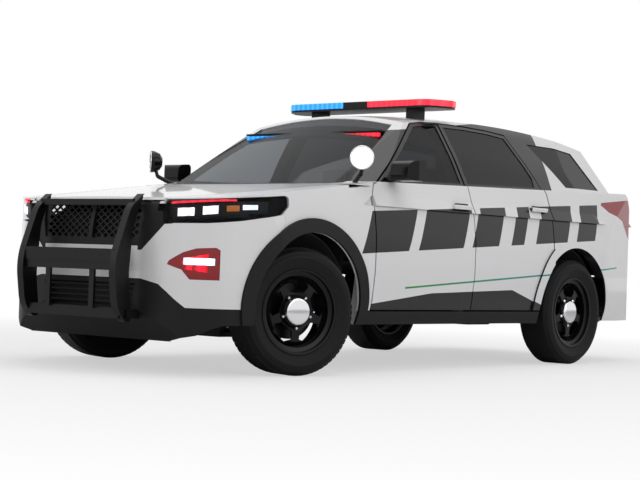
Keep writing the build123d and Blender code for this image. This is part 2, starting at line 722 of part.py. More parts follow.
# Running gear. A wheel is made upright on the origin, its axle along Y, and then placed.
STEER_AXIS_Y = 733
STEER_LEAN = (0.28, 0.96)
FRONT_HUB_SHIFT = 36
STRUT_TOP = 455
FRONT_HUB_Y = 844
TYRE_SECTION = [
    (-102, 250.2), (-131, 322), (-122, 358), (-84, 383), (84, 383), (122, 358), (131, 322), (102, 250.2),
    (88, 252), (112, 322), (96, 362), (-96, 362), (-112, 322), (-88, 252),
]
RIM_SECTION = [
    (111, 256), (109, 242), (88, 240), (80, 216), (-60, 220), (-88, 240), (-109, 242), (-111, 256),
    (-103, 249.7), (-84, 249.7), (-56, 230), (68, 224), (84, 249.7), (103, 249.7),
]
DISC_SECTION = [
    (30, 40), (52, 40), (54, 88), (72, 120), (70, 180), (40, 210), (40, 219), (26, 219), (26, 203),
    (54, 172), (56, 118), (34, 84),
]
HUB_CAP_SECTION = [(48, 0), (96, 0), (92, 40), (74, 72), (58, HUB_CAP_RADIUS), (48, HUB_CAP_RADIUS)]
BRAKE_SECTION = [(-40, 0), (32, 0), (32, 60), (-14, 70), (-14, 168), (-40, 168)]
WHEEL_OPENINGS = 5
WHEEL_CENTRES = {
    "front_left": (-FRONT_HUB_SHIFT, FRONT_HUB_Y, 1), "front_right": (FRONT_HUB_SHIFT, -FRONT_HUB_Y, -1),
    "rear_left": (REAR_AXLE, WHEEL_Y, 1), "rear_right": (REAR_AXLE, -WHEEL_Y, -1),
}


def turned(section, side):
    """A ring round the Y axis on a section in (y, radius), its outer face to the given side."""
    wire = Wire.make_polygon([Vector(0, side * y, r) for y, r in section], close=True)
    return Solid.revolve(Face(wire), 360, Axis((0, 0, 0), (0, 1, 0)))


def wheel_opening():
    """A D-shaped opening between two spokes, its straight side towards the hub."""
    outline = [(-46, 112), (46, 112), (78, 148), (50, 188), (-50, 188), (-78, 148)]
    face = Face(Wire.make_polygon([Vector(x, 130, z) for x, z in outline], close=True))
    return Solid.extrude(face, Vector(0, -260, 0))


def make_wheels():
    opening = wheel_opening()
    spin = Axis((0, 0, 0), (0, 1, 0))
    cuts = [opening.rotate(spin, 360 / WHEEL_OPENINGS * i) for i in range(WHEEL_OPENINGS)]
    for name, (station, y, side) in WHEEL_CENTRES.items():
        disc_part = cut(turned(DISC_SECTION, side), *cuts)
        wheel = fuse(turned(RIM_SECTION, side), disc_part, turned(HUB_CAP_SECTION, side), turned(BRAKE_SECTION, side))
        place = Location((at(station), y, TYRE_RADIUS - 1))
        angle = STEER_REST_DEG if "front" in name else 0
        for kind, solid in (("wheel", wheel), ("tyre", turned(TYRE_SECTION, side))):
            save(f"{kind}_{name}", solid.rotate(Axis((0, 0, 0), (0, 0, 1)), angle).moved(place))


def lean_point(along, side):
    """A point of a steering axis, as (station, y, z), at a distance along it above the hub's height."""
    return (0, side * (STEER_AXIS_Y - STEER_LEAN[0] * along), TYRE_RADIUS + STEER_LEAN[1] * along)


def knuckle(side):
    """The hub carrier with the strut that turns with it."""
    strut = rod(lean_point(90, side), lean_point(STRUT_TOP, side), 26)
    spring = rod(lean_point(330, side), lean_point(450, side), 56)
    ball = rod(lean_point(-150, side), lean_point(100, side), 24)
    carrier = Solid.make_cylinder(58, 84 - SEAT_GAP, Plane((0, -side * 124, 0), z_dir=(0, side, 0)))
    carrier = carrier.rotate(Axis((0, 0, 0), (0, 0, 1)), STEER_REST_DEG)
    carrier = carrier.moved(Location((at(-side * FRONT_HUB_SHIFT), side * FRONT_HUB_Y, TYRE_RADIUS - 1)))
    return fused([carrier, strut, spring, ball])


def make_knuckles():
    save("knuckle_front_left", knuckle(1))
    save("knuckle_front_right", knuckle(-1))


def make_front_structure():
    """The rails, beams, radiator and cradle behind the nose, with the lower arms."""
    front = STRUCTURE_FRONT + 14
    pieces = [block(front, front + 50, -520, 520, 340, 600), block(-800, -740, -420, 420, 400, 940)]
    pieces.append(block(-210, -150, -430, 430, CRADLE_LOW, CRADLE_HIGH))
    pieces.append(block(170, 240, -430, 430, CRADLE_LOW, CRADLE_HIGH))
    for side in (1, -1):
        pieces.append(across(-842, 430, side, 365, 445, 480, 580))
        pieces.append(across(-812, -738, side, 360, 450, 560, 600))
        pieces.append(across(STRUCTURE_FRONT, front + 4, side, GUARD_Y - 24, GUARD_Y + 24, 318, 372))
        pieces.append(across(-210, 240, side, 370, 430, CRADLE_LOW, CRADLE_HIGH))
        pieces.append(across(-200, -160, side, 370, 430, CRADLE_LOW, 500))
        foot = lean_point(-158, side)
        for station in (-170, 200):
            pieces.append(rod((station, side * 380, 226), (0, foot[1] - side * 45, 230), 20))
    save("front_structure", fused(pieces))


CRADLE_LOW = 206
CRADLE_HIGH = 246


def across(front, rear, side, inner, outer, low, high):
    """A block on one side of the vehicle, between an inner and an outer distance from its middle."""
    y_low, y_high = sorted((side * inner, side * outer))
    return block(front, rear, y_low, y_high, low, high)


def chamfer_block(front, rear, half, low, high, bevel):
    outline = [
        (-half + bevel, low), (half - bevel, low), (half, low + bevel), (half, high - bevel),
        (half - bevel, high), (-half + bevel, high), (-half, high - bevel), (-half, low + bevel),
    ]
    return front_prism(outline, front, rear)


PIPE_Y = -230
PIPE_Z = 285


def make_drivetrain():
    """The engine as a plain block, the gearbox, the propeller shaft and the exhaust."""
    pieces = [
        chamfer_block(-560, -20, 320, 400, 900, 40), chamfer_block(-300, -30, 170, 310, 420, 10),
        chamfer_block(-40, 640, 170, 250, FLOOR_LOW, 30), rod((620, 0, 300), (REAR_AXLE - 140, 0, 300), 36),
        rod((250, PIPE_Y, PIPE_Z), (250, -100, 320), 30), rod((220, PIPE_Y, PIPE_Z), (REAR_AXLE + 430, PIPE_Y, PIPE_Z), 30),
        rod((900, PIPE_Y, PIPE_Z), (1300, PIPE_Y, PIPE_Z), 58), block(REAR_AXLE + 420, REAR_AXLE + 660, -430, 430, 262, 376),
    ]
    for y in (-420, 420):
        pieces.append(rod((REAR_AXLE + 640, y * 0.95, 330), (REAR_AXLE + 1050, y * 1.35, 322), 34))
    save("drivetrain", fused(pieces))


def make_rear_suspension():
    """The rear cradle with the final drive, half shafts, arms, dampers and hub carriers."""
    pieces = [chamfer_block(REAR_AXLE - 140, REAR_AXLE + 150, 150, 250, 380, 30)]
    pieces.append(rod((REAR_AXLE, -730, TYRE_RADIUS - 34), (REAR_AXLE, 730, TYRE_RADIUS - 34), 18))
    for station in (REAR_AXLE - 265, REAR_AXLE + 245):
        pieces.append(block(station - 35, station + 35, -520, 520, 340, FLOOR_LOW))
    for side in (1, -1):
        pieces.append(across(REAR_AXLE - 300, REAR_AXLE + 280, side, 460, 520, 340, FLOOR_LOW))
        hub = Plane((at(REAR_AXLE), side * 722, TYRE_RADIUS - 1), z_dir=(0, side, 0))
        pieces.append(Solid.make_cylinder(60, 88 - SEAT_GAP, hub))
        for station in (REAR_AXLE - 240, REAR_AXLE + 240, REAR_AXLE - 100):
            pieces.append(rod((station, side * 500, 362), (REAR_AXLE, side * 745, TYRE_RADIUS - 20), 20))
        pieces.append(rod((REAR_AXLE + 62, side * 676, 800), (REAR_AXLE + 62, side * 676, 362), 26))
    save("rear_suspension", fused(pieces))


def make_floor():
    """The floor with its bulkhead and the four wheelhouses."""
    wells = []
    houses = []
    for station, inner in ((0, WELL_FRONT_Y), (REAR_AXLE, WELL_REAR_Y)):
        wells.append(disc(station, TYRE_RADIUS, ARCH_RADIUS + 2, inner, 1300))
        shell = cut(disc(station, TYRE_RADIUS, ARCH_RADIUS + 14, inner - 12, BODY_HALF - DOOR_WALL - 50), wells[-1])
        houses.append(common(shell, block(station - 600, station + 600, 0, 1300, SILL_Z, 1200)))
    slab = block(430, 3950, 0, BODY_HALF - SILL_DEPTH + 5, FLOOR_LOW, FLOOR_LOW + 26)
    bulkhead = common(block(430, 456, 0, 836, FLOOR_LOW, 1108), left_lower(SKIN + 4, 40))
    tower = block(-90, 90, WELL_FRONT_Y - 6, 660, 843, 853)
    mount = rod(lean_point(STRUT_TOP + SEAT_GAP, 1), lean_point(STRUT_TOP + 34, 1), 40)
    left = cut(fused([slab, bulkhead]), *wells)
    left = fused([left, *houses, tower, mount])
    save("floor_pan", largest(whole(left)))


def make_cowl():
    """The black panel between the hood and the windshield."""
    below = common(left_lower(HOOD_WALL), windshield_zone(0), block(200, 560, -10, 900, 1112, 1400))
    cowl = cut(below, hood_region(PANEL_GAP / 2 + 1), common(left_cabin(0), block(300, 900, 0, 900, 1158, 1500)))
    save("cowl_panel", largest(whole(largest(cowl))))


DASH_SECTION = [(500, 820), (500, 1040), (560, 1090), (690, 1092), (760, 1040), (740, 960), (640, 900), (620, 820)]
DASH_HALF = 735
SEAT_FRONT = 1180
SEAT_Y = 400
WHEEL_STATION = 930
RIM_REACH = 184


def steering_rim(place):
    """A ring with a six-sided section, standing on the given plane."""
    section = [Vector(RIM_REACH + 15 * math.cos(a), 0, 15 * math.sin(a)) for a in (math.pi / 3 * i for i in range(6))]
    ring = Solid.revolve(Face(Wire.make_polygon(section, close=True)), 360, Axis((0, 0, 0), (0, 0, 1)))
    return ring.moved(place.location)


def make_interior():
    dash = side_prism(DASH_SECTION, -DASH_HALF, DASH_HALF)
    column = rod((720, SEAT_Y, 980), (WHEEL_STATION, SEAT_Y, 1040), 26)
    legs = [block(456, 520, y - 40, y + 40, 840, 1000) for y in (-500, 0, 500)]
    tilt = Vector(-(WHEEL_STATION - 720), 0, 60).normalized()
    rim = steering_rim(Plane((at(WHEEL_STATION), SEAT_Y, 1040), z_dir=tilt))
    spokes = Solid.make_box(340, 30, 14, Plane((at(WHEEL_STATION), SEAT_Y, 1040), x_dir=(0, 1, 0), z_dir=tilt))
    spokes = spokes.moved(Location(Vector(0, -170, 0)))
    save("dashboard", fused([dash, *legs, rim, spokes, column]))
    for side, name in ((1, "left"), (-1, "right")):
        save(f"front_seat_{name}", seat(SEAT_FRONT, side * SEAT_Y, 260))
    save("rear_bench", seat(2140, 0, 620, False))


# A seat's cushion, back and head restraint from the side, as (station, z, radius) from its front foot.
CUSHION = [(0, 300, 45), (-20, 200, 40), (500, 150, 40), (560, 250, 40)]
BACKREST = [(470, 200, 40), (590, 170, 50), (740, 770, 40), (640, 800, 40)]
HEADREST = [(655, 820, 25), (665, 970, 40), (755, 970, 40), (765, 830, 30)]
SEAT_BASE_HEIGHT = 210


def seat(front, y, half, head=True):
    """A cushion and back on a base, with a head restraint on the front seats."""
    floor = FLOOR_LOW + 26
    halves = [(CUSHION, half), (BACKREST, half)] + ([(HEADREST, 135)] if head else [])
    pieces = [block(front + 60, front + 480, y - half + 60, y + half - 60, floor, floor + SEAT_BASE_HEIGHT)]
    for rows, reach in halves:
        pieces.append(side_plate([(front + s, floor + z, r) for s, z, r in rows], y - reach, y + reach))
    if head:
        pieces.append(rod((front + 700, y, floor + 700), (front + 708, y, floor + 850), 12))
    return fused(pieces)


# What the police fit adds: light bar, spot lamps and their stalks.
BAR_STATION = 1708
BAR_HALF = 714
BAR_DEPTH = 280
BAR_Z = 1790


def bar_shape(low, high, half, depth, start, end):
    """A stretch of the light bar between two places across it, its ends swept back."""
    outline = [(-half, 40), (-half + 90, -depth / 2), (half - 90, -depth / 2), (half, 40), (half - 30, depth / 2),
               (-half + 30, depth / 2)]
    corners = [Vector(at(BAR_STATION) - d, y) for y, d in outline]
    wire = rounded(corners, [60, 120, 120, 60, 40, 40], low)
    body = Solid.extrude(Face(wire), Vector(0, 0, high - low))
    return common(body, block(BAR_STATION - 400, BAR_STATION + 400, start, end, low - 1, high + 1))


def make_light_bar():
    tray = bar_shape(BAR_Z - 14, BAR_Z, BAR_HALF - 4, BAR_DEPTH - 8, -800, 800)
    middle = bar_shape(BAR_Z, BAR_Z + 42, BAR_HALF, BAR_DEPTH, -110, 110)
    feet = []
    for y in (-430, 430):
        foot = block(BAR_STATION - 70, BAR_STATION + 70, y - 30, y + 30, 1690, BAR_Z - 14)
        feet.append(cut(foot, cabin_solid(-SEAT_GAP, -SEAT_GAP)))
    save("light_bar_base", fused([tray, middle, *feet]))
    save("light_bar_lens_red", bar_shape(BAR_Z, BAR_Z + 42, BAR_HALF, BAR_DEPTH, 110, 800))
    save("light_bar_lens_blue", bar_shape(BAR_Z, BAR_Z + 42, BAR_HALF, BAR_DEPTH, -800, -110))


SPOT_HEAD = (513, 915, 1343)
SPOT_FOOT = (590, 790, 1180)
SPOT_AIM_DEG = 40


def make_spot_lamp():
    rows = [(-46, 0), (-46, 30), (-28, 58), (10, 74), (34, 76), (34, 70), (30, 0)]
    wire = Wire.make_polygon([Vector(x, 0, r) for x, r in rows], close=True)
    head = Solid.revolve(Face(wire), 360, Axis((0, 0, 0), (1, 0, 0)))
    head = head.rotate(Axis((0, 0, 0), (0, 0, 1)), SPOT_AIM_DEG)
    head = head.moved(Location((at(SPOT_HEAD[0]), SPOT_HEAD[1], SPOT_HEAD[2])))
    neck = rod((SPOT_HEAD[0] + 6, SPOT_HEAD[1], SPOT_HEAD[2] - 60), (SPOT_HEAD[0] + 12, SPOT_HEAD[1] - 14, 1238), 12)
    stalk = rod((SPOT_HEAD[0] + 12, SPOT_HEAD[1] - 14, 1242), SPOT_FOOT, 14)
    stalk = cut(stalk, cabin_solid(0), lower_solid(0))
    save_pair("spot_lamp", fused([head, neck, largest(stalk)]))


MIRROR_FRONT = 762
MIRROR_INNER = 946
MIRROR_SIDE = [(0, 2, 36), (136, 0, 24), (136, 136, 26), (14, 126, 46)]


def make_mirror():
    rows = [(MIRROR_FRONT + s, 1216 + z, r) for s, z, r in MIRROR_SIDE]
    housing = side_plate(rows, MIRROR_INNER, MIRROR_REACH)
    taper = plan_prism([(MIRROR_FRONT - 50, 1030), (MIRROR_FRONT - 50, 1300), (MIRROR_FRONT + 60, 1300),
                        (MIRROR_FRONT + 60, MIRROR_REACH)], 1000, 1500)
    arm = block(MIRROR_FRONT + 30, MIRROR_FRONT + 110, 860, 960, 1214, 1240)
    arm = cut(arm, cabin_solid(-SEAT_GAP), lower_solid(-SEAT_GAP))
    save_pair("mirror", fuse(cut(housing, taper), largest(arm)))


FLOOR_LOW = 387
WELL_FRONT_Y = 476
WELL_REAR_Y = 640

make_doors()
make_hood()
make_front_end()
make_push_bumper()
make_tailgate()
make_tail_lamp()
make_body_side()
make_roof()
make_rear_end()
make_cladding()
make_wheels()
make_knuckles()
make_front_structure()
make_drivetrain()
make_rear_suspension()
make_floor()
make_cowl()
make_interior()
make_light_bar()
make_spot_lamp()
make_mirror()
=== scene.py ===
import math

import bmesh
import bpy
from mathutils import Matrix, Vector


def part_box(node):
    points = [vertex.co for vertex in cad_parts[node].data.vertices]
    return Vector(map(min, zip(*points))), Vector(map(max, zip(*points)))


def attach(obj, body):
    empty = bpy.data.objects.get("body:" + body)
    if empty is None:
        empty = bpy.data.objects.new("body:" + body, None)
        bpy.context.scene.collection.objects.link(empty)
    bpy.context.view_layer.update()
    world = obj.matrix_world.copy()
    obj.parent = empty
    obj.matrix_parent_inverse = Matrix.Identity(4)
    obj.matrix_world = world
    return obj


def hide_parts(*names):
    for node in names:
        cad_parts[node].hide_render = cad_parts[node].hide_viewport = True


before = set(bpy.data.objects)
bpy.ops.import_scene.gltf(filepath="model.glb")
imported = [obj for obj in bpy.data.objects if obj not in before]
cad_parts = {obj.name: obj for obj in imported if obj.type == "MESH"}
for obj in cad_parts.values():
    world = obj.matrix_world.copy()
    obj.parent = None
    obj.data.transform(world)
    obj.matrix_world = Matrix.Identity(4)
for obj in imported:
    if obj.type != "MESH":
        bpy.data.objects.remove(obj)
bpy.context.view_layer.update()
scene = bpy.context.scene
scene.view_settings.view_transform = "Standard"

# Places and sizes are in metres. A station is a distance behind the front axle.
AXLE_X = 1.522
CHASSIS = "chassis"
SIDES = {"left": 1, "right": -1}
WHEEL_NAMES = ("front_left", "front_right", "rear_left", "rear_right")
STEER_REST_DEG = -18
UP = Vector((0, 0, 1))
FLAT = Matrix.Identity(3)


def at(station):
    """The x of a station."""
    return AXLE_X - station


# Helpers for materials.
def inputs_of(node, values):
    """Sets a node's own sockets by name."""
    for name, value in values.items():
        node.inputs[name].default_value = value


def connect(tree, socket, value):
    """Links another node's socket to this one, or writes a plain value into it."""
    if isinstance(value, bpy.types.NodeSocket):
        tree.links.new(value, socket)
    else:
        socket.default_value = value


def new_material(name):
    material = bpy.data.materials.new(name)
    material.use_nodes = True
    return material, material.node_tree, material.node_tree.nodes["Principled BSDF"]


def math_node(tree, operation, a, b=0.0, c=0.0):
    """A Math node on sockets or plain numbers."""
    node = tree.nodes.new("ShaderNodeMath")
    node.operation = operation
    for socket, value in zip(node.inputs, (a, b, c)):
        connect(tree, socket, value)
    return node.outputs[0]


def mix_colour(tree, share, low, high):
    """A colour between two, by a share."""
    node = tree.nodes.new("ShaderNodeMix")
    node.data_type = "RGBA"
    for socket, value in ((node.inputs[0], share), (node.inputs[6], low), (node.inputs[7], high)):
        connect(tree, socket, value)
    return node.outputs[2]


def mix_shaders(tree, share, low, high):
    """Two shaders mixed by a share, as the material's surface."""
    node = tree.nodes.new("ShaderNodeMixShader")
    for socket, value in zip(node.inputs, (share, low, high)):
        connect(tree, socket, value)
    tree.links.new(node.outputs[0], tree.nodes["Material Output"].inputs["Surface"])


def place_in(tree):
    """A point's place in the shared frame."""
    return tree.nodes.new("ShaderNodeTexCoord").outputs["Object"]


def axes_of(tree, place):
    """The three coordinates of a place."""
    split = tree.nodes.new("ShaderNodeSeparateXYZ")
    tree.links.new(place, split.inputs[0])
    return split.outputs


GRAIN_DEPTH = 0.0004
NOISE_SPAN = (0.35, 0.65)


def add_grain(tree, shader, place, scale, strength):
    """A fine surface grain as bump. Gives the noise that it is made from."""
    noise = tree.nodes.new("ShaderNodeTexNoise")
    inputs_of(noise, {"Scale": scale, "Detail": 3.0})
    tree.links.new(place, noise.inputs["Vector"])
    bump = tree.nodes.new("ShaderNodeBump")
    inputs_of(bump, {"Strength": strength, "Distance": GRAIN_DEPTH})
    tree.links.new(noise.outputs["Fac"], bump.inputs["Height"])
    tree.links.new(bump.outputs["Normal"], shader.inputs["Normal"])
    return noise.outputs["Fac"]


def vary_roughness(tree, shader, noise, low, high):
    """A roughness that follows the noise between two limits."""
    span = tree.nodes.new("ShaderNodeMapRange")
    inputs_of(span, {"From Min": NOISE_SPAN[0], "From Max": NOISE_SPAN[1], "To Min": low, "To Max": high})
    tree.links.new(noise, span.inputs["Value"])
    tree.links.new(span.outputs[0], shader.inputs["Roughness"])


# Colours, and the dark colour that panels show towards the cabin: partly the cabin's dark trim, partly
# painted shade.
PAINT = (0.80, 0.80, 0.81)
BLACK_PAINT = (0.004, 0.004, 0.005)
TRIM = (0.006, 0.006, 0.0065)
CABIN_TRIM_AND_SHADE = (0.014, 0.0145, 0.016)
CABIN_MIDDLE = (-0.3, 0.0, 0.8)
FACING_LIMIT = -0.05
PAINT_ROUGHNESS = (0.22, 0.30)
PAINT_GRAIN = (900, 0.04)


def opaque(colour):
    return (*colour, 1)


def facing_in(tree, place):
    """1 on faces that look towards the middle of the cabin, and 0 elsewhere."""
    away = tree.nodes.new("ShaderNodeVectorMath")
    away.operation = "SUBTRACT"
    tree.links.new(place, away.inputs[0])
    away.inputs[1].default_value = CABIN_MIDDLE
    geometry = tree.nodes.new("ShaderNodeNewGeometry")
    product = tree.nodes.new("ShaderNodeVectorMath")
    product.operation = "DOT_PRODUCT"
    tree.links.new(away.outputs[0], product.inputs[0])
    tree.links.new(geometry.outputs["True Normal"], product.inputs[1])
    return math_node(tree, "LESS_THAN", product.outputs["Value"], FACING_LIMIT)


def plain_paint():
    """The body's white paint, dark on faces turned towards the cabin: partly dark trim, partly painted shade.
    """
    material, tree, shader = new_material("white_paint")
    place = place_in(tree)
    inputs_of(shader, {"Base Color": opaque(PAINT), "Specular IOR Level": 0.5, "Coat Weight": 0.6})
    # Faces turned towards the cabin take the dark colour: partly the cabin's dark trim, partly painted shade.
    colour = mix_colour(tree, facing_in(tree, place), opaque(PAINT), opaque(CABIN_TRIM_AND_SHADE))
    tree.links.new(colour, shader.inputs["Base Color"])
    vary_roughness(tree, shader, add_grain(tree, shader, place, *PAINT_GRAIN), *PAINT_ROUGHNESS)
    return material


# The livery. A line is (station, z there, slope), and a block is (start, end) at the blocks' middle height.
BLOCKS = [(0.552, 1.022), (1.123, 1.615), (1.717, 2.031), (2.183, 2.342), (2.494, 2.915), (3.042, 3.303)]
BLOCK_MIDDLE_Z = 0.96
BLOCK_SLANT = 0.43
BLOCK_LOW = (0.502, 0.748, 0.0618)
BLOCK_HIGH = (0.487, 1.010, 0.0634)
STRIPE = (0.929, 0.538, 0.0678)
STRIPE_HALF = 0.006
STRIPE_ENDS = (0.93, 3.70)
STRIPE_BLEND = (1.0, 2.4)
STRIPE_GREEN = (0.03, 0.30, 0.05)
STRIPE_TEAL = (0.02, 0.30, 0.26)
# The black lower trim of the doors lies under the lowest of these lines.
TRIM_LINES = [(0.683, 0.444, 0.116), (1.259, 0.508, 0.0331), (2.178, 0.539, -0.268)]
# Dark window frames: over the belt, and on the body's side under the roof's rail and ahead of the rear band.
BELT_LINE = (0.640, 1.204, 0.03093)
RAIL_LINE = (1.0, 1.560, 0.13)
BAND_LINE = (2.76, 0.92, 4.6)
DOOR_DARK = [(BELT_LINE, "GREATER_THAN")]
SIDE_DARK = DOOR_DARK + [(RAIL_LINE, "LESS_THAN"), (BAND_LINE, "GREATER_THAN")]


def line_z(tree, station, line):
    """The height of a line at a station."""
    start, height, slope = line
    return math_node(tree, "MULTIPLY_ADD", station, slope, height - start * slope)


def between(tree, value, low, high):
    """1 where a value lies between two limits, and 0 elsewhere."""
    above = math_node(tree, "GREATER_THAN", value, low)
    return math_node(tree, "MULTIPLY", above, math_node(tree, "LESS_THAN", value, high))


def block_share(tree, station, height, across):
    """1 on the slanted blocks, whose tops lean to the onlooker's right on both sides."""
    side = math_node(tree, "SIGN", across)
    rise = math_node(tree, "SUBTRACT", height, BLOCK_MIDDLE_Z)
    lean = math_node(tree, "MULTIPLY", math_node(tree, "MULTIPLY", rise, BLOCK_SLANT), side)
    upright = math_node(tree, "SUBTRACT", station, lean)
    along = between(tree, upright, *BLOCKS[0])
    for block in BLOCKS[1:]:
        along = math_node(tree, "ADD", along, between(tree, upright, *block))
    tall = between(tree, height, line_z(tree, station, BLOCK_LOW), line_z(tree, station, BLOCK_HIGH))
    return math_node(tree, "MULTIPLY", along, tall)


def stripe_share(tree, station, height):
    """1 on the thin stripe."""
    offset = math_node(tree, "ABSOLUTE", math_node(tree, "SUBTRACT", height, line_z(tree, station, STRIPE)))
    thin = math_node(tree, "LESS_THAN", offset, STRIPE_HALF)
    return math_node(tree, "MULTIPLY", thin, between(tree, station, *STRIPE_ENDS))


def stripe_colour(tree, station):
    """Green in front, turning teal towards the rear."""
    hue = tree.nodes.new("ShaderNodeMapRange")
    inputs_of(hue, {"From Min": STRIPE_BLEND[0], "From Max": STRIPE_BLEND[1]})
    tree.links.new(station, hue.inputs["Value"])
    return mix_colour(tree, hue.outputs[0], opaque(STRIPE_GREEN), opaque(STRIPE_TEAL))


def trim_share(tree, station, height):
    """1 under the lowest of the trim's lines."""
    limit = line_z(tree, station, TRIM_LINES[0])
    for line in TRIM_LINES[1:]:
        limit = math_node(tree, "MINIMUM", limit, line_z(tree, station, line))
    return math_node(tree, "LESS_THAN", height, limit)


def dark_share(tree, station, height, rows):
    """1 where a point passes every test against its line."""
    shares = [math_node(tree, test, height, line_z(tree, station, line)) for line, test in rows]
    dark = shares[0]
    for share in shares[1:]:
        dark = math_node(tree, "MULTIPLY", dark, share)
    return dark


def livery(name, lower_trim=False, dark_rows=()):
    """White paint with the blocks and the stripe, and on some pieces black trim and dark window frames."""
    material, tree, shader = new_material(name)
    place = place_in(tree)
    axes = axes_of(tree, place)
    height = axes["Z"]
    station = math_node(tree, "SUBTRACT", AXLE_X, axes["X"])
    blocks = block_share(tree, station, height, axes["Y"])
    colour = mix_colour(tree, blocks, opaque(PAINT), opaque(BLACK_PAINT))
    colour = mix_colour(tree, stripe_share(tree, station, height), colour, stripe_colour(tree, station))
    if lower_trim:
        colour = mix_colour(tree, trim_share(tree, station, height), colour, opaque(TRIM))
    if dark_rows:
        colour = mix_colour(tree, dark_share(tree, station, height, dark_rows), colour, opaque(BLACK_PAINT))
    # Faces turned towards the cabin take the dark colour: partly the cabin's dark trim, partly painted shade.
    colour = mix_colour(tree, facing_in(tree, place), colour, opaque(CABIN_TRIM_AND_SHADE))
    tree.links.new(colour, shader.inputs["Base Color"])
    inputs_of(shader, {"Coat Weight": 0.15, "Coat Roughness": 0.04, "Specular IOR Level": 0.3})
    vary_roughness(tree, shader, add_grain(tree, shader, place, *PAINT_GRAIN), *PAINT_ROUGHNESS)
    return material


# Columns: name, colour, limits of roughness, metal share, specular level, grain as scale and strength.
FINISH_ROWS = {
    "black": ("black_plastic", TRIM, (0.45, 0.62), 0, 0.22, (700, 0.25)),
    "gloss": ("gloss_black", BLACK_PAINT, (0.12, 0.20), 0, 0.22, (500, 0.03)),
    "coated": ("black_coated_steel", (0.006, 0.006, 0.007), (0.30, 0.42), 0, 0.22, (900, 0.20)),
    "rim": ("black_wheel_steel", (0.005, 0.005, 0.006), (0.25, 0.36), 0.1, 0.22, (500, 0.08)),
    "chrome": ("bright_metal", (0.78, 0.78, 0.80), (0.06, 0.12), 1, 0.5, (300, 0.02)),
    "cast": ("cast_parts", (0.16, 0.16, 0.17), (0.50, 0.65), 0.6, 0.5, (400, 0.30)),
    "steel": ("chassis_steel", (0.03, 0.03, 0.032), (0.50, 0.65), 0.2, 0.22, (300, 0.25)),
    "under": ("underbody_paint", (0.035, 0.035, 0.036), (0.60, 0.75), 0, 0.22, (200, 0.30)),
    "dash": ("dash_plastic", (0.02, 0.02, 0.022), (0.55, 0.70), 0, 0.22, (900, 0.30)),
    "fabric": ("seat_fabric", (0.035, 0.038, 0.045), (0.75, 0.90), 0, 0.22, (1400, 0.50)),
    "rubber": ("tyre_rubber", (0.006, 0.006, 0.0065), (0.60, 0.75), 0, 0.22, (600, 0.30)),
    "amber": ("amber_lens", (0.75, 0.22, 0.02), (0.10, 0.20), 0, 0.5, (300, 0.05)),
    "tail_red": ("lamp_red", (0.30, 0.008, 0.012), (0.08, 0.14), 0, 0.5, (300, 0.04)),
}
# Lit lamps as: name, glow colour, lens colour, strength.
GLOW_ROWS = {
    "red_lit": ("red_lit", (1.0, 0.02, 0.05), (0.5, 0.0, 0.01), 1.6),
    "blue_lit": ("blue_lit", (0.02, 0.33, 1.0), (0.0, 0.08, 0.5), 1.6),
    "white_lit": ("white_lit", (1.0, 1.0, 1.0), (1.0, 1.0, 1.0), 1.6),
    "cool_lit": ("cool_lit", (0.72, 0.80, 1.0), (0.72, 0.80, 1.0), 1.8),
}
MODULE_WAVE = 140.0
MODULE_LEVEL = 0.75
# Panes as: name, tint, how much of the surface reflects rather than lets through.
GLASS_ROWS = {
    "glass": ("windshield_glass", (0.80, 0.82, 0.84), 0.30),
    "tinted": ("tinted_glass", (0.36, 0.37, 0.39), 0.50),
    "lens": ("lamp_clear", (0.92, 0.93, 0.96), 0.12),
}
PANE_ROUGHNESS = 0.02
PANE_VARIATION = 0.04


def finish_material(name, colour, roughness, metallic, specular, grain):
    """A plain finish with a fine grain."""
    material, tree, shader = new_material(name)
    inputs_of(shader, {"Base Color": opaque(colour), "Metallic": metallic, "Specular IOR Level": specular})
    vary_roughness(tree, shader, add_grain(tree, shader, place_in(tree), *grain), *roughness)
    return material


def glow_material(name, glow, lens, strength):
    """A lit lamp, brighter and darker in turn across the vehicle like modules side by side."""
    material, tree, shader = new_material(name)
    across = axes_of(tree, place_in(tree))["Y"]
    waves = math_node(tree, "SINE", math_node(tree, "MULTIPLY", across, MODULE_WAVE))
    share = math_node(tree, "MULTIPLY_ADD", waves, 1 - MODULE_LEVEL, MODULE_LEVEL)
    inputs_of(shader, {"Base Color": opaque(lens), "Roughness": 0.15, "Emission Color": opaque(glow)})
    tree.links.new(math_node(tree, "MULTIPLY", share, strength), shader.inputs["Emission Strength"])
    return material


def glass_material(name, tint, opacity):
    """A pane that shows what is behind it through its tint."""
    material, tree, shader = new_material(name)
    clear = tree.nodes.new("ShaderNodeBsdfTransparent")
    clear.inputs["Color"].default_value = opaque(tint)
    look = {"Base Color": opaque(BLACK_PAINT), "Roughness": PANE_ROUGHNESS, "Specular IOR Level": 0.5}
    inputs_of(shader, look)
    noise = tree.nodes.new("ShaderNodeTexNoise")
    inputs_of(noise, {"Scale": 2.0, "Detail": 1.0})
    tree.links.new(place_in(tree), noise.inputs["Vector"])
    low = opacity - PANE_VARIATION / 2
    share = math_node(tree, "MULTIPLY_ADD", noise.outputs["Fac"], PANE_VARIATION, low)
    mix_shaders(tree, share, clear.outputs[0], shader.outputs[0])
    return material


materials = {
    "paint": plain_paint(),
    "door": livery("livery_doors", True, DOOR_DARK),
    "side": livery("livery_sides"),
    "pillar": livery("livery_pillars", False, SIDE_DARK),
}
for make, rows in ((finish_material, FINISH_ROWS), (glow_material, GLOW_ROWS), (glass_material, GLASS_ROWS)):
    for key, row in rows.items():
        materials[key] = make(*row)

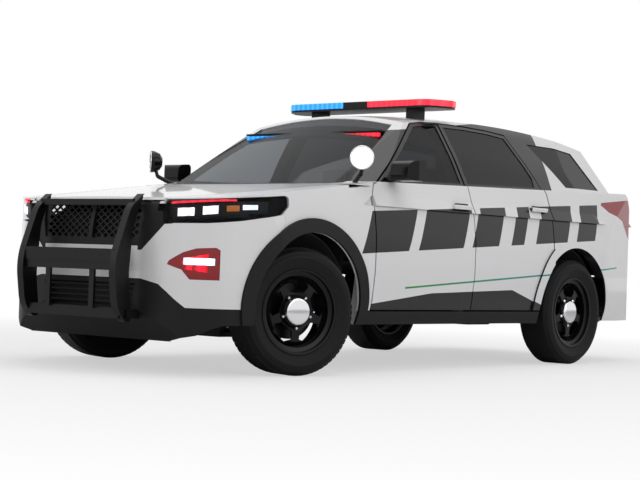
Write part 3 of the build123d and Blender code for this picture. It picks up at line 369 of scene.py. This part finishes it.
# The finish of each carried-over piece, by the start of its name.
NODE_FINISHES = [
    ("door_front", "door"), ("door_rear", "door"), ("front_fender", "side"), ("body_side", "pillar"),
    ("hood", "paint"), ("front_bumper", "paint"), ("tailgate_glass", "tinted"), ("tailgate", "paint"),
    ("roof_panel", "paint"), ("rear_bumper", "paint"), ("windshield", "glass"), ("glass_front", "glass"),
    ("glass_rear", "tinted"), ("quarter_glass", "tinted"), ("headlamp", "lens"),
    ("bumper_warning_lamp", "tail_red"), ("tail_lamp", "tail_red"), ("mirror", "gloss"), ("grille", "black"),
    ("front_lower_fascia", "black"), ("side_cladding", "black"), ("cowl_panel", "black"),
    ("push_bumper", "coated"), ("spot_lamp", "gloss"), ("light_bar_lens_red", "red_lit"),
    ("light_bar_lens_blue", "blue_lit"), ("light_bar_base", "coated"), ("tyre_", "rubber"), ("wheel_", "rim"),
    ("knuckle_", "cast"), ("drivetrain", "cast"), ("rear_suspension", "steel"), ("front_structure", "steel"),
    ("floor_pan", "under"), ("dashboard", "dash"), ("front_seat", "fabric"), ("rear_bench", "fabric"),
]
for node_name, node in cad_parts.items():
    node_finish = next(finish for start, finish in NODE_FINISHES if node_name.startswith(start))
    node.data.materials.clear()
    node.data.materials.append(materials[node_finish])


# Helpers for meshes.
def mesh_object(name, mesh, finish, body, smooth=False, bevel=0.0):
    """A finished piece on a body, its edges rounded by the bevel."""
    piece = bpy.data.objects.new(name, mesh)
    scene.collection.objects.link(piece)
    mesh.materials.append(materials[finish])
    if smooth:
        mesh.polygons.foreach_set("use_smooth", [True] * len(mesh.polygons))
    if bevel:
        rounding = piece.modifiers.new("rounding", "BEVEL")
        rounding.width = bevel
        rounding.segments = 2
        rounding.limit_method = "ANGLE"
    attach(piece, body)
    return piece


def mesh_of(build):
    """A new mesh filled by a function on an empty bmesh."""
    shape = bmesh.new()
    build(shape)
    mesh = bpy.data.meshes.new("shape")
    shape.to_mesh(mesh)
    shape.free()
    return mesh


def box_mesh(boxes):
    """Boxes, each given as (centre, size, turn)."""
    def build(shape):
        for centre, size, turn in boxes:
            matrix = Matrix.Translation(centre) @ turn.to_4x4() @ Matrix.Diagonal((*size, 1))
            bmesh.ops.create_cube(shape, size=1, matrix=matrix)
    return mesh_of(build)


def turned_points(profile, place, axis, segments):
    """A profile of (along the axis, radius) turned round an axis: a row of points for each of its points."""
    matrix = Matrix.Translation(place) @ Vector(axis).to_track_quat("Z", "Y").to_matrix().to_4x4()
    angles = [2 * math.pi * i / segments for i in range(segments)]
    rows = []
    for along, radius in profile:
        rows.append([matrix @ Vector((radius * math.cos(a), radius * math.sin(a), along)) for a in angles])
    return rows


def turned_mesh(profile, place, axis, segments):
    """A surface of revolution with its two ends capped."""
    def build(shape):
        rings = [[shape.verts.new(p) for p in row] for row in turned_points(profile, place, axis, segments)]
        for low, high in zip(rings, rings[1:]):
            for i in range(segments):
                j = (i + 1) % segments
                shape.faces.new((low[i], low[j], high[j], high[i]))
        shape.faces.new(rings[0][::-1])
        shape.faces.new(rings[-1])
    return mesh_of(build)


def ring_mesh(profile, place, axis, segments):
    """A ring whose section is the closed profile."""
    def build(shape):
        columns = zip(*turned_points(profile, place, axis, segments))
        columns = [[shape.verts.new(p) for p in column] for column in columns]
        for i in range(segments):
            here, there = columns[i], columns[(i + 1) % segments]
            for j in range(len(profile)):
                k = (j + 1) % len(profile)
                shape.faces.new((here[j], here[k], there[k], there[j]))
    return mesh_of(build)


def fill_grid(shape, grid):
    """Faces between the rows of a grid of vertices, left open where the grid has a gap."""
    for here, there in zip(grid, grid[1:]):
        for j in range(len(here) - 1):
            corners = (here[j], there[j], there[j + 1], here[j + 1])
            if all(c is not None for c in corners):
                shape.faces.new(corners)


def thicken(piece, thickness):
    """Gives a piece made as one surface its wall."""
    piece.modifiers.new("thickness", "SOLIDIFY").thickness = thickness


# Tyres and wheels: rows of tread blocks, two rings on each sidewall, hub caps, lug nuts and valves.
TREAD_COUNT = 64
TREAD_RADIUS = 0.3815
TREAD_HEIGHT = 0.006
TREAD_PROUD = 0.0012
TREAD_FILL = 0.78
# Columns: how far the row lies towards the outer face, its blocks' width, its shift round the tyre in blocks.
TREAD_ROWS = [(-0.078, 0.030, 0), (-0.040, 0.028, 0.5), (0, 0.028, 0), (0.040, 0.028, 0.5), (0.078, 0.030, 0)]
# Columns: a ring's radius, and how far out it lies.
SIDEWALL_RINGS = [(0.262, 0.1085), (0.338, 0.1290)]
RING_FOOT = 0.004
RING_CROWN = 0.002
RING_SEGMENTS = 72
HUB_CAP_PROFILE = [
    (0.062, 0.0845), (0.075, 0.083), (0.097, 0.080), (0.0985, 0.070), (0.1000, 0.050), (0.1010, 0.030),
    (0.1015, 0.012), (0.1015, 0.001),
]
HUB_CAP_SEGMENTS = 64
LUG_COUNT = 5
LUG_CIRCLE = 0.1
LUG_BASE = 0.062
LUG_PROFILE = [(0, 0.0115), (0.012, 0.0115), (0.018, 0.008)]
VALVE_CIRCLE = 0.196
VALVE_BASE = 0.052
VALVE_PROFILE = [(0, 0.005), (0.028, 0.004)]


def wheel_place(name):
    """A wheel's centre and the direction of its outer face."""
    low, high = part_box(f"tyre_{name}")
    side = SIDES[name.split("_")[1]]
    angle = math.radians(STEER_REST_DEG if "front" in name else 0)
    return (low + high) / 2, Vector((-math.sin(angle) * side, math.cos(angle) * side, 0))


def tread_blocks(centre, axle, offset, width, phase):
    """One row of blocks round the tyre."""
    length = 2 * math.pi * TREAD_RADIUS / TREAD_COUNT * TREAD_FILL
    reach = TREAD_RADIUS - TREAD_HEIGHT / 2 + TREAD_PROUD
    boxes = []
    for i in range(TREAD_COUNT):
        outward = Matrix.Rotation(2 * math.pi * (i + phase) / TREAD_COUNT, 3, axle) @ UP
        turn = Matrix((axle, axle.cross(outward), outward)).transposed()
        boxes.append((centre + outward * reach + axle * offset, (width, length, TREAD_HEIGHT), turn))
    return boxes


def add_tyre_detail(name):
    centre, axle = wheel_place(name)
    body = f"wheel_{name}_body"
    boxes = []
    for offset, width, phase in TREAD_ROWS:
        boxes += tread_blocks(centre, axle, offset, width, phase)
    mesh_object(f"tread_{name}", box_mesh(boxes), "rubber", body)
    for number, (radius, along) in enumerate(SIDEWALL_RINGS):
        profile = [
            (along - RING_FOOT, radius - RING_FOOT), (along, radius - RING_CROWN),
            (along, radius + RING_CROWN), (along - RING_FOOT, radius + RING_FOOT),
        ]
        ring = ring_mesh(profile, centre, axle, RING_SEGMENTS)
        mesh_object(f"sidewall_ring_{number}_{name}", ring, "rubber", body, smooth=True)


def add_wheel_detail(name):
    """A hub cap, its ring of lug nuts and the valve's stem."""
    centre, axle = wheel_place(name)
    body = f"wheel_{name}_body"
    cap = turned_mesh(HUB_CAP_PROFILE, centre, axle, HUB_CAP_SEGMENTS)
    mesh_object(f"hub_cap_{name}", cap, "chrome", body, smooth=True)
    spokes = [Matrix.Rotation(2 * math.pi * (i + 0.5) / LUG_COUNT, 3, axle) @ UP for i in range(LUG_COUNT)]
    for i, spoke in enumerate(spokes):
        nut = turned_mesh(LUG_PROFILE, centre + spoke * LUG_CIRCLE + axle * LUG_BASE, axle, segments=6)
        mesh_object(f"lug_nut_{i}_{name}", nut, "chrome", body)
    foot = centre + spokes[0] * VALVE_CIRCLE + axle * VALVE_BASE
    mesh_object(f"valve_{name}", turned_mesh(VALVE_PROFILE, foot, axle, segments=10), "black", body)


for wheel_name in WHEEL_NAMES:
    add_tyre_detail(wheel_name)
    add_wheel_detail(wheel_name)


# Seats: crowned padded pieces that stand for the plain solids. Outlines are (station, z) from the front foot.
SEAT_FLOOR = 0.413
SEAT_FRONT = 1.18
BENCH_FRONT = 2.14
SEAT_Y = 0.40
SEAT_HALF = 0.258
BENCH_HALF = 0.618
CUSHION = [(0, 0.29), (-0.01, 0.20), (0.49, 0.16), (0.55, 0.25)]
BACKREST = [(0.475, 0.20), (0.585, 0.18), (0.735, 0.765), (0.645, 0.795)]
HEADREST = [(0.658, 0.825), (0.668, 0.966), (0.752, 0.966), (0.762, 0.83)]
HEADREST_HALF = 0.133
PAD_ROUNDING = 0.03
PAD_CROWN = 0.012
PAD_CUTS = 3
SEAM_DEPTH = 0.006
SEAM_PLACE = 0.62
SEAM_WIDTH = 0.035
# Columns: station from the front foot, z over the floor, and sizes along and up.
PLINTH = (0.27, 0.095, 0.40, 0.19)
PLINTH_INSET = 0.14
POSTS = (0.705, 0.80, 0.012, 0.10)
POST_Y = 0.07


def cushion_mesh(corners, y_low, y_high):
    """A padded slab on a side outline, its broad faces crowned, its edges soft and two seams pulled in."""
    def build(shape):
        left = [shape.verts.new((at(s), y_high, z)) for s, z in corners]
        right = [shape.verts.new((at(s), y_low, z)) for s, z in corners]
        shape.faces.new(left)
        shape.faces.new(right[::-1])
        for i in range(len(corners)):
            j = (i + 1) % len(corners)
            shape.faces.new((left[j], left[i], right[i], right[j]))
        bmesh.ops.recalc_face_normals(shape, faces=shape.faces)
        bmesh.ops.bevel(
            shape, geom=shape.edges[:], offset=PAD_ROUNDING, segments=2, affect="EDGES", profile=0.5
        )
        bmesh.ops.triangulate(shape, faces=shape.faces)
        bmesh.ops.subdivide_edges(shape, edges=shape.edges[:], cuts=PAD_CUTS, use_grid_fill=True)
        crown_pad(shape, (y_low + y_high) / 2, (y_high - y_low) / 2)
    return mesh_of(build)


def crown_pad(shape, y_middle, half):
    """Swells a pad towards its middle and pulls its two seams in."""
    middle = sum((v.co for v in shape.verts), Vector()) / len(shape.verts)
    for v in shape.verts:
        across = (v.co.y - y_middle) / half
        swell = PAD_CROWN * max(0.0, 1 - across * across)
        seam = SEAM_DEPTH * math.exp(-((abs(across) - SEAM_PLACE) / SEAM_WIDTH) ** 2)
        v.co += (v.co - middle).normalized() * (swell - seam - PAD_CROWN)


def add_pad(node_name, kind, outline, front, y, half):
    """One pad of a seat, in the place of the seat's plain solid."""
    corners = [(front + s, SEAT_FLOOR + z) for s, z in outline]
    mesh = cushion_mesh(corners, y - half, y + half)
    pad = mesh_object(f"{node_name}_{kind}", mesh, "fabric", CHASSIS, smooth=True)
    pad.modifiers.new("soften", "SMOOTH").iterations = 4
    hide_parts(node_name)


def add_seat(node_name, front, y, half, head=True):
    """A cushion and a back on a plinth, with a head restraint on two posts."""
    add_pad(node_name, "cushion", CUSHION, front, y, half)
    add_pad(node_name, "back", BACKREST, front, y, half)
    if head:
        add_pad(node_name, "head", HEADREST, front, y, HEADREST_HALF)
    station, z, length, height = PLINTH
    centre = Vector((at(front + station), y, SEAT_FLOOR + z))
    plinth = box_mesh([(centre, (length, 2 * half - PLINTH_INSET, height), FLAT)])
    mesh_object(f"{node_name}_plinth", plinth, "black", CHASSIS, bevel=0.012)
    if head:
        station, z, width, height = POSTS
        places = [Vector((at(front + station), y + shift, SEAT_FLOOR + z)) for shift in (POST_Y, -POST_Y)]
        posts = box_mesh([(place, (width, width, height), FLAT) for place in places])
        mesh_object(f"{node_name}_posts", posts, "chrome", CHASSIS, bevel=0.003)


for side_name, side in SIDES.items():
    add_seat(f"front_seat_{side_name}", SEAT_FRONT, side * SEAT_Y, SEAT_HALF)
add_seat("rear_bench", BENCH_FRONT, 0.0, BENCH_HALF, False)


# Places on the panels, found by a ray from outside. FAR_Y and FAR_X lie beyond the vehicle.
FAR_Y = 1.4
FAR_X = 3.2


def surface_y(node_name, x, z, side):
    """How far out a side panel reaches at a place, or None past its edge."""
    start = Vector((x, FAR_Y * side, z))
    hit, point, normal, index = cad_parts[node_name].ray_cast(start, Vector((0, -side, 0)))
    return abs(point.y) if hit else None


def surface_x(node_name, y, z):
    """How far forward a piece of the nose reaches at a place, or None past its edge."""
    hit, point, normal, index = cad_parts[node_name].ray_cast(Vector((FAR_X, y, z)), Vector((-1, 0, 0)))
    return point.x if hit else None


# Door handles, each a bar on two feet with a gloss black plate behind it as the painted shade of its recess.
# Places are (station, z).
HANDLES = {"door_front": (1.545, 1.085), "door_rear": (2.52, 1.115)}
HANDLE_PROUD = 0.020
HANDLE_LEAN = -0.18
HANDLE_BAR = (0.21, 0.016, 0.030)
HANDLE_FOOT = (0.030, 0.026, 0.020)
HANDLE_FOOT_X = 0.085
HANDLE_FOOT_BACK = 0.012
HANDLE_SHADE_PLATE = (0.15, 0.004, 0.052)
HANDLE_SHADE_PLATE_BACK = 0.0195


def add_handle(node_name, station, z, side):
    body = f"{node_name}_body"
    y = surface_y(node_name, at(station), z, side)
    place = Vector((at(station), side * (y + HANDLE_PROUD), z))
    lean = Matrix.Rotation(HANDLE_LEAN * side, 3, "X")
    mesh_object(f"handle_{node_name}", box_mesh([(place, HANDLE_BAR, lean)]), "paint", body, bevel=0.007)
    shifts = [Vector((x, -side * HANDLE_FOOT_BACK, 0)) for x in (-HANDLE_FOOT_X, HANDLE_FOOT_X)]
    feet = box_mesh([(place + shift, HANDLE_FOOT, lean) for shift in shifts])
    mesh_object(f"handle_feet_{node_name}", feet, "paint", body, bevel=0.004)
    # The gloss black plate behind the bar is painted shade for the handle's recess.
    shade_plate = box_mesh([(place - Vector((0, side * HANDLE_SHADE_PLATE_BACK, 0)), HANDLE_SHADE_PLATE, lean)])
    mesh_object(f"handle_shade_plate_{node_name}", shade_plate, "gloss", body, bevel=0.0015)


for door, (handle_station, handle_z) in HANDLES.items():
    for side_name, side in SIDES.items():
        add_handle(f"{door}_{side_name}", handle_station, handle_z, side)


# What is laid on the nose's lamps: kind, finish, corners of a left patch as (y, z), how far it stands proud.
HEADLAMP_PATCHES = [
    ("liner", "black", [(0.60, 0.885), (0.955, 0.925), (0.955, 1.02), (0.60, 1.0)], -0.028),
    ("projector_inner", "white_lit",
     [(0.655, 0.915), (0.735, 0.922), (0.735, 0.968), (0.655, 0.962)], -0.012),
    ("projector_outer", "white_lit",
     [(0.775, 0.928), (0.845, 0.937), (0.845, 0.984), (0.775, 0.975)], -0.012),
    ("amber", "amber", [(0.875, 0.950), (0.905, 0.956), (0.905, 0.990), (0.875, 0.984)], -0.010),
    ("module", "cool_lit", [(0.912, 0.965), (0.940, 0.970), (0.940, 0.998), (0.912, 0.993)], -0.008),
    ("upper_strip", "red_lit", [(0.62, 0.985), (0.90, 1.012), (0.90, 1.024), (0.62, 0.998)], -0.008),
]
WARNING_PATCHES = [
    ("band", "cool_lit", [(0.70, 0.640), (0.845, 0.640), (0.845, 0.680), (0.70, 0.680)], 0.001),
    ("glow", "red_lit", [(0.64, 0.625), (0.855, 0.590), (0.855, 0.715), (0.66, 0.668)], 0.0),
]
PATCH_STEPS_ACROSS = 10
PATCH_STEPS_UP = 4
PATCH_WALL = 0.002


def add_patch(node_name, kind, finish, corners, proud, side):
    """A thin plate that follows the front of a lamp between four corners."""
    (y0, z0), (y1, z1), (y2, z2), (y3, z3) = [(y * side, z) for y, z in corners]

    def build(shape):
        grid = []
        for i in range(PATCH_STEPS_ACROSS + 1):
            share = i / PATCH_STEPS_ACROSS
            low = Vector((y0 + (y1 - y0) * share, z0 + (z1 - z0) * share))
            high = Vector((y3 + (y2 - y3) * share, z3 + (z2 - z3) * share))
            line = []
            for j in range(PATCH_STEPS_UP + 1):
                spot = low + (high - low) * (j / PATCH_STEPS_UP)
                x = surface_x(node_name, spot.x, spot.y)
                line.append(None if x is None else shape.verts.new((x + proud, spot.x, spot.y)))
            grid.append(line)
        fill_grid(shape, grid)
    thicken(mesh_object(f"{node_name}_{kind}", mesh_of(build), finish, CHASSIS, smooth=True), PATCH_WALL)


for side_name, side in SIDES.items():
    for lamp, patches in (("headlamp", HEADLAMP_PATCHES), ("bumper_warning_lamp", WARNING_PATCHES)):
        for patch_kind, patch_finish, patch_corners, patch_proud in patches:
            add_patch(f"{lamp}_{side_name}", patch_kind, patch_finish, patch_corners, patch_proud, side)


# Spot lamps: a lit lens in the left one and a dark one in the right, each in a bright bezel.
SPOT_STATION = 0.513
SPOT_Y = 0.915
SPOT_Z = 1.343
SPOT_AIM = math.radians(40)
SPOT_LENS_PROFILE = [(0.026, 0.067), (0.034, 0.066), (0.037, 0.050), (0.039, 0.020), (0.0395, 0.001)]
SPOT_BEZEL_PROFILE = [(0.030, 0.066), (0.030, 0.0755), (0.038, 0.0755), (0.038, 0.067)]


def add_spot_lens(side_name, side):
    centre = Vector((at(SPOT_STATION), side * SPOT_Y, SPOT_Z))
    aim = Vector((math.cos(SPOT_AIM), math.sin(SPOT_AIM) * side, 0))
    lens = turned_mesh(SPOT_LENS_PROFILE, centre, aim, segments=48)
    mesh_object(f"spot_lens_{side_name}", lens, "white_lit" if side > 0 else "lens", CHASSIS, smooth=True)
    bezel = ring_mesh(SPOT_BEZEL_PROFILE, centre, aim, segments=64)
    mesh_object(f"spot_bezel_{side_name}", bezel, "chrome", CHASSIS, smooth=True)


# Lit bars behind the windshield's header, and the mirrors' lamps and glass. Red is left, blue is right.
VISOR_Y = 0.39
VISOR_BAR = (1.10, 1.545, (0.03, 0.40, 0.028))
VISOR_SHROUD = (1.12, 1.570, (0.06, 0.42, 0.012))
MIRROR_LAMP_Y = 1.03
MIRROR_LAMP_BACK = 0.012
MIRROR_LAMP = (0.014, 0.055, 0.030)
MIRROR_GLASS_Y = 1.045
MIRROR_GLASS_BACK = 0.0005
MIRROR_GLASS = (0.003, 0.15, 0.10)


def add_box(name, place, size, finish, body, bevel):
    """A level box with rounded edges."""
    mesh_object(name, box_mesh([(Vector(place), size, FLAT)]), finish, body, bevel=bevel)


def add_side_lights(side_name, side):
    """One side's lit bar with its shroud, and its mirror's lamp and glass."""
    glow = "red_lit" if side > 0 else "blue_lit"
    station, z, size = VISOR_BAR
    place = (at(station), side * VISOR_Y, z)
    add_box(f"visor_light_{side_name}", place, size, glow, CHASSIS, bevel=0.004)
    station, z, size = VISOR_SHROUD
    place = (at(station), side * VISOR_Y, z)
    add_box(f"visor_shroud_{side_name}", place, size, "black", CHASSIS, bevel=0.003)
    door_body = f"door_front_{side_name}_body"
    low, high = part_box(f"mirror_{side_name}")
    middle_z = (low.z + high.z) / 2
    place = (high.x - MIRROR_LAMP_BACK, side * MIRROR_LAMP_Y, middle_z)
    add_box(f"mirror_lamp_{side_name}", place, MIRROR_LAMP, glow, door_body, bevel=0.004)
    place = (low.x - MIRROR_GLASS_BACK, side * MIRROR_GLASS_Y, middle_z)
    add_box(f"mirror_glass_{side_name}", place, MIRROR_GLASS, "chrome", door_body, bevel=0.001)


for side_name, side in SIDES.items():
    add_spot_lens(side_name, side)
for side_name, side in SIDES.items():
    add_side_lights(side_name, side)

# The dark band inside the top of the windshield, as a grid that follows the pane.
BAND_HALF = 0.56
BAND_STATION = 1.02
BAND_DEPTH = 0.17
BAND_STEPS_ACROSS = 24
BAND_STEPS_ALONG = 4
BAND_BELOW = 0.010
BAND_WALL = 0.003
OVER_ROOF = 2.2


def add_header_band():
    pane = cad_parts["windshield"]

    def build(shape):
        grid = []
        for i in range(BAND_STEPS_ACROSS + 1):
            y = -BAND_HALF + 2 * BAND_HALF * i / BAND_STEPS_ACROSS
            line = []
            for j in range(BAND_STEPS_ALONG + 1):
                x = at(BAND_STATION + BAND_DEPTH * j / BAND_STEPS_ALONG)
                hit, point, normal, index = pane.ray_cast(Vector((x, y, OVER_ROOF)), Vector((0, 0, -1)))
                line.append(shape.verts.new((x, y, point.z - BAND_BELOW)) if hit else None)
            grid.append(line)
        fill_grid(shape, grid)
    thicken(mesh_object("windshield_header_band", mesh_of(build), "black", CHASSIS, smooth=True), BAND_WALL)


add_header_band()

# The floor shows near white to the camera, more so far away, and keeps the shadow of what stands on it.
FLOOR_HALF = 60
FLOOR_DROP = 0.001
FLOOR_COLOUR = (0.93, 0.93, 0.935)
# Each is a distance from the middle, and the glow's share there.
GLOW_NEAR = (2.6, 0.55)
GLOW_FAR = (7.0, 1.0)


def floor_material():
    material, tree, shader = new_material("floor_pale")
    inputs_of(shader, {"Base Color": opaque(FLOOR_COLOUR), "Roughness": 0.85, "Specular IOR Level": 0.1})
    distance = tree.nodes.new("ShaderNodeVectorMath")
    distance.operation = "LENGTH"
    tree.links.new(place_in(tree), distance.inputs[0])
    far = tree.nodes.new("ShaderNodeMapRange")
    inputs_of(far, {"From Min": GLOW_NEAR[0], "From Max": GLOW_FAR[0]})
    inputs_of(far, {"To Min": GLOW_NEAR[1], "To Max": GLOW_FAR[1]})
    tree.links.new(distance.outputs["Value"], far.inputs["Value"])
    paths = tree.nodes.new("ShaderNodeLightPath")
    glow = tree.nodes.new("ShaderNodeEmission")
    share = math_node(tree, "MULTIPLY", far.outputs[0], paths.outputs["Is Camera Ray"])
    mix_shaders(tree, share, shader.outputs[0], glow.outputs[0])
    return material


def add_floor():
    mesh = mesh_of(lambda shape: bmesh.ops.create_grid(shape, x_segments=1, y_segments=1, size=FLOOR_HALF))
    floor = bpy.data.objects.new("floor", mesh)
    scene.collection.objects.link(floor)
    floor.data.materials.append(floor_material())
    floor.location.z = -FLOOR_DROP


# The studio: a world white to the camera and in reflections, dimmer as a light, with soft lamps.
SKY_LEVEL = 0.42
SKY_COLOUR = (1, 1, 1, 1)
# Columns: name, place, the point it aims at, its two sizes, its power in watts.
LAMPS = [
    ("overhead", (0.5, 0, 6.5), (0, 0, 0), (8, 5), 150),
    ("side", (1.0, 8.0, 4.0), (0, 0, 0.8), (8, 3), 110),
    ("nose", (8.0, -2.0, 3.5), (1.5, 0, 0.8), (4, 3), 60),
]


def add_world():
    world = bpy.data.worlds.new("studio")
    scene.world = world
    world.use_nodes = True
    tree = world.node_tree
    backdrop = tree.nodes["Background"]
    paths = tree.nodes.new("ShaderNodeLightPath")
    seen = math_node(tree, "MAXIMUM", paths.outputs["Is Camera Ray"], paths.outputs["Is Glossy Ray"])
    seen = math_node(tree, "MAXIMUM", seen, paths.outputs["Is Transmission Ray"])
    level = math_node(tree, "MULTIPLY_ADD", seen, 1 - SKY_LEVEL, SKY_LEVEL)
    tree.links.new(level, backdrop.inputs["Strength"])
    backdrop.inputs["Color"].default_value = SKY_COLOUR


def add_lamp(name, place, target, size, power):
    light = bpy.data.lights.new(name, "AREA")
    light.shape = "RECTANGLE"
    light.size, light.size_y = size
    light.energy = power
    lamp = bpy.data.objects.new(name, light)
    scene.collection.objects.link(lamp)
    lamp.location = place
    lamp.rotation_mode = "QUATERNION"
    lamp.rotation_quaternion = (Vector(target) - Vector(place)).to_track_quat("-Z", "Y")


# The camera as solved from the photograph: its place, its turn, tilt and roll in degrees, and its lens in mm.
CAMERA_PLACE = (8.9969, 7.2530, 0.6636)
CAMERA_YAW, CAMERA_PITCH, CAMERA_ROLL = 219.797, 0.887, 2.043
CAMERA_LENS = 91.96
CAMERA_SENSOR = 36
CAMERA_REACH = 200


def add_camera():
    yaw, pitch, roll = (math.radians(a) for a in (CAMERA_YAW, CAMERA_PITCH, CAMERA_ROLL))
    ahead = Vector((math.cos(pitch) * math.cos(yaw), math.cos(pitch) * math.sin(yaw), math.sin(pitch)))
    right = ahead.cross(UP).normalized()
    up = right.cross(ahead)
    rolled_right = right * math.cos(roll) + up * math.sin(roll)
    rolled_up = up * math.cos(roll) - right * math.sin(roll)
    camera = bpy.data.objects.new("camera", bpy.data.cameras.new("camera"))
    scene.collection.objects.link(camera)
    camera.data.lens = CAMERA_LENS
    camera.data.sensor_width = CAMERA_SENSOR
    axes = Matrix((rolled_right, rolled_up, -ahead)).transposed().to_4x4()
    camera.matrix_world = Matrix.Translation(CAMERA_PLACE) @ axes
    camera.data.clip_end = CAMERA_REACH
    scene.camera = camera


add_floor()
add_world()
for lamp_row in LAMPS:
    add_lamp(*lamp_row)
add_camera()
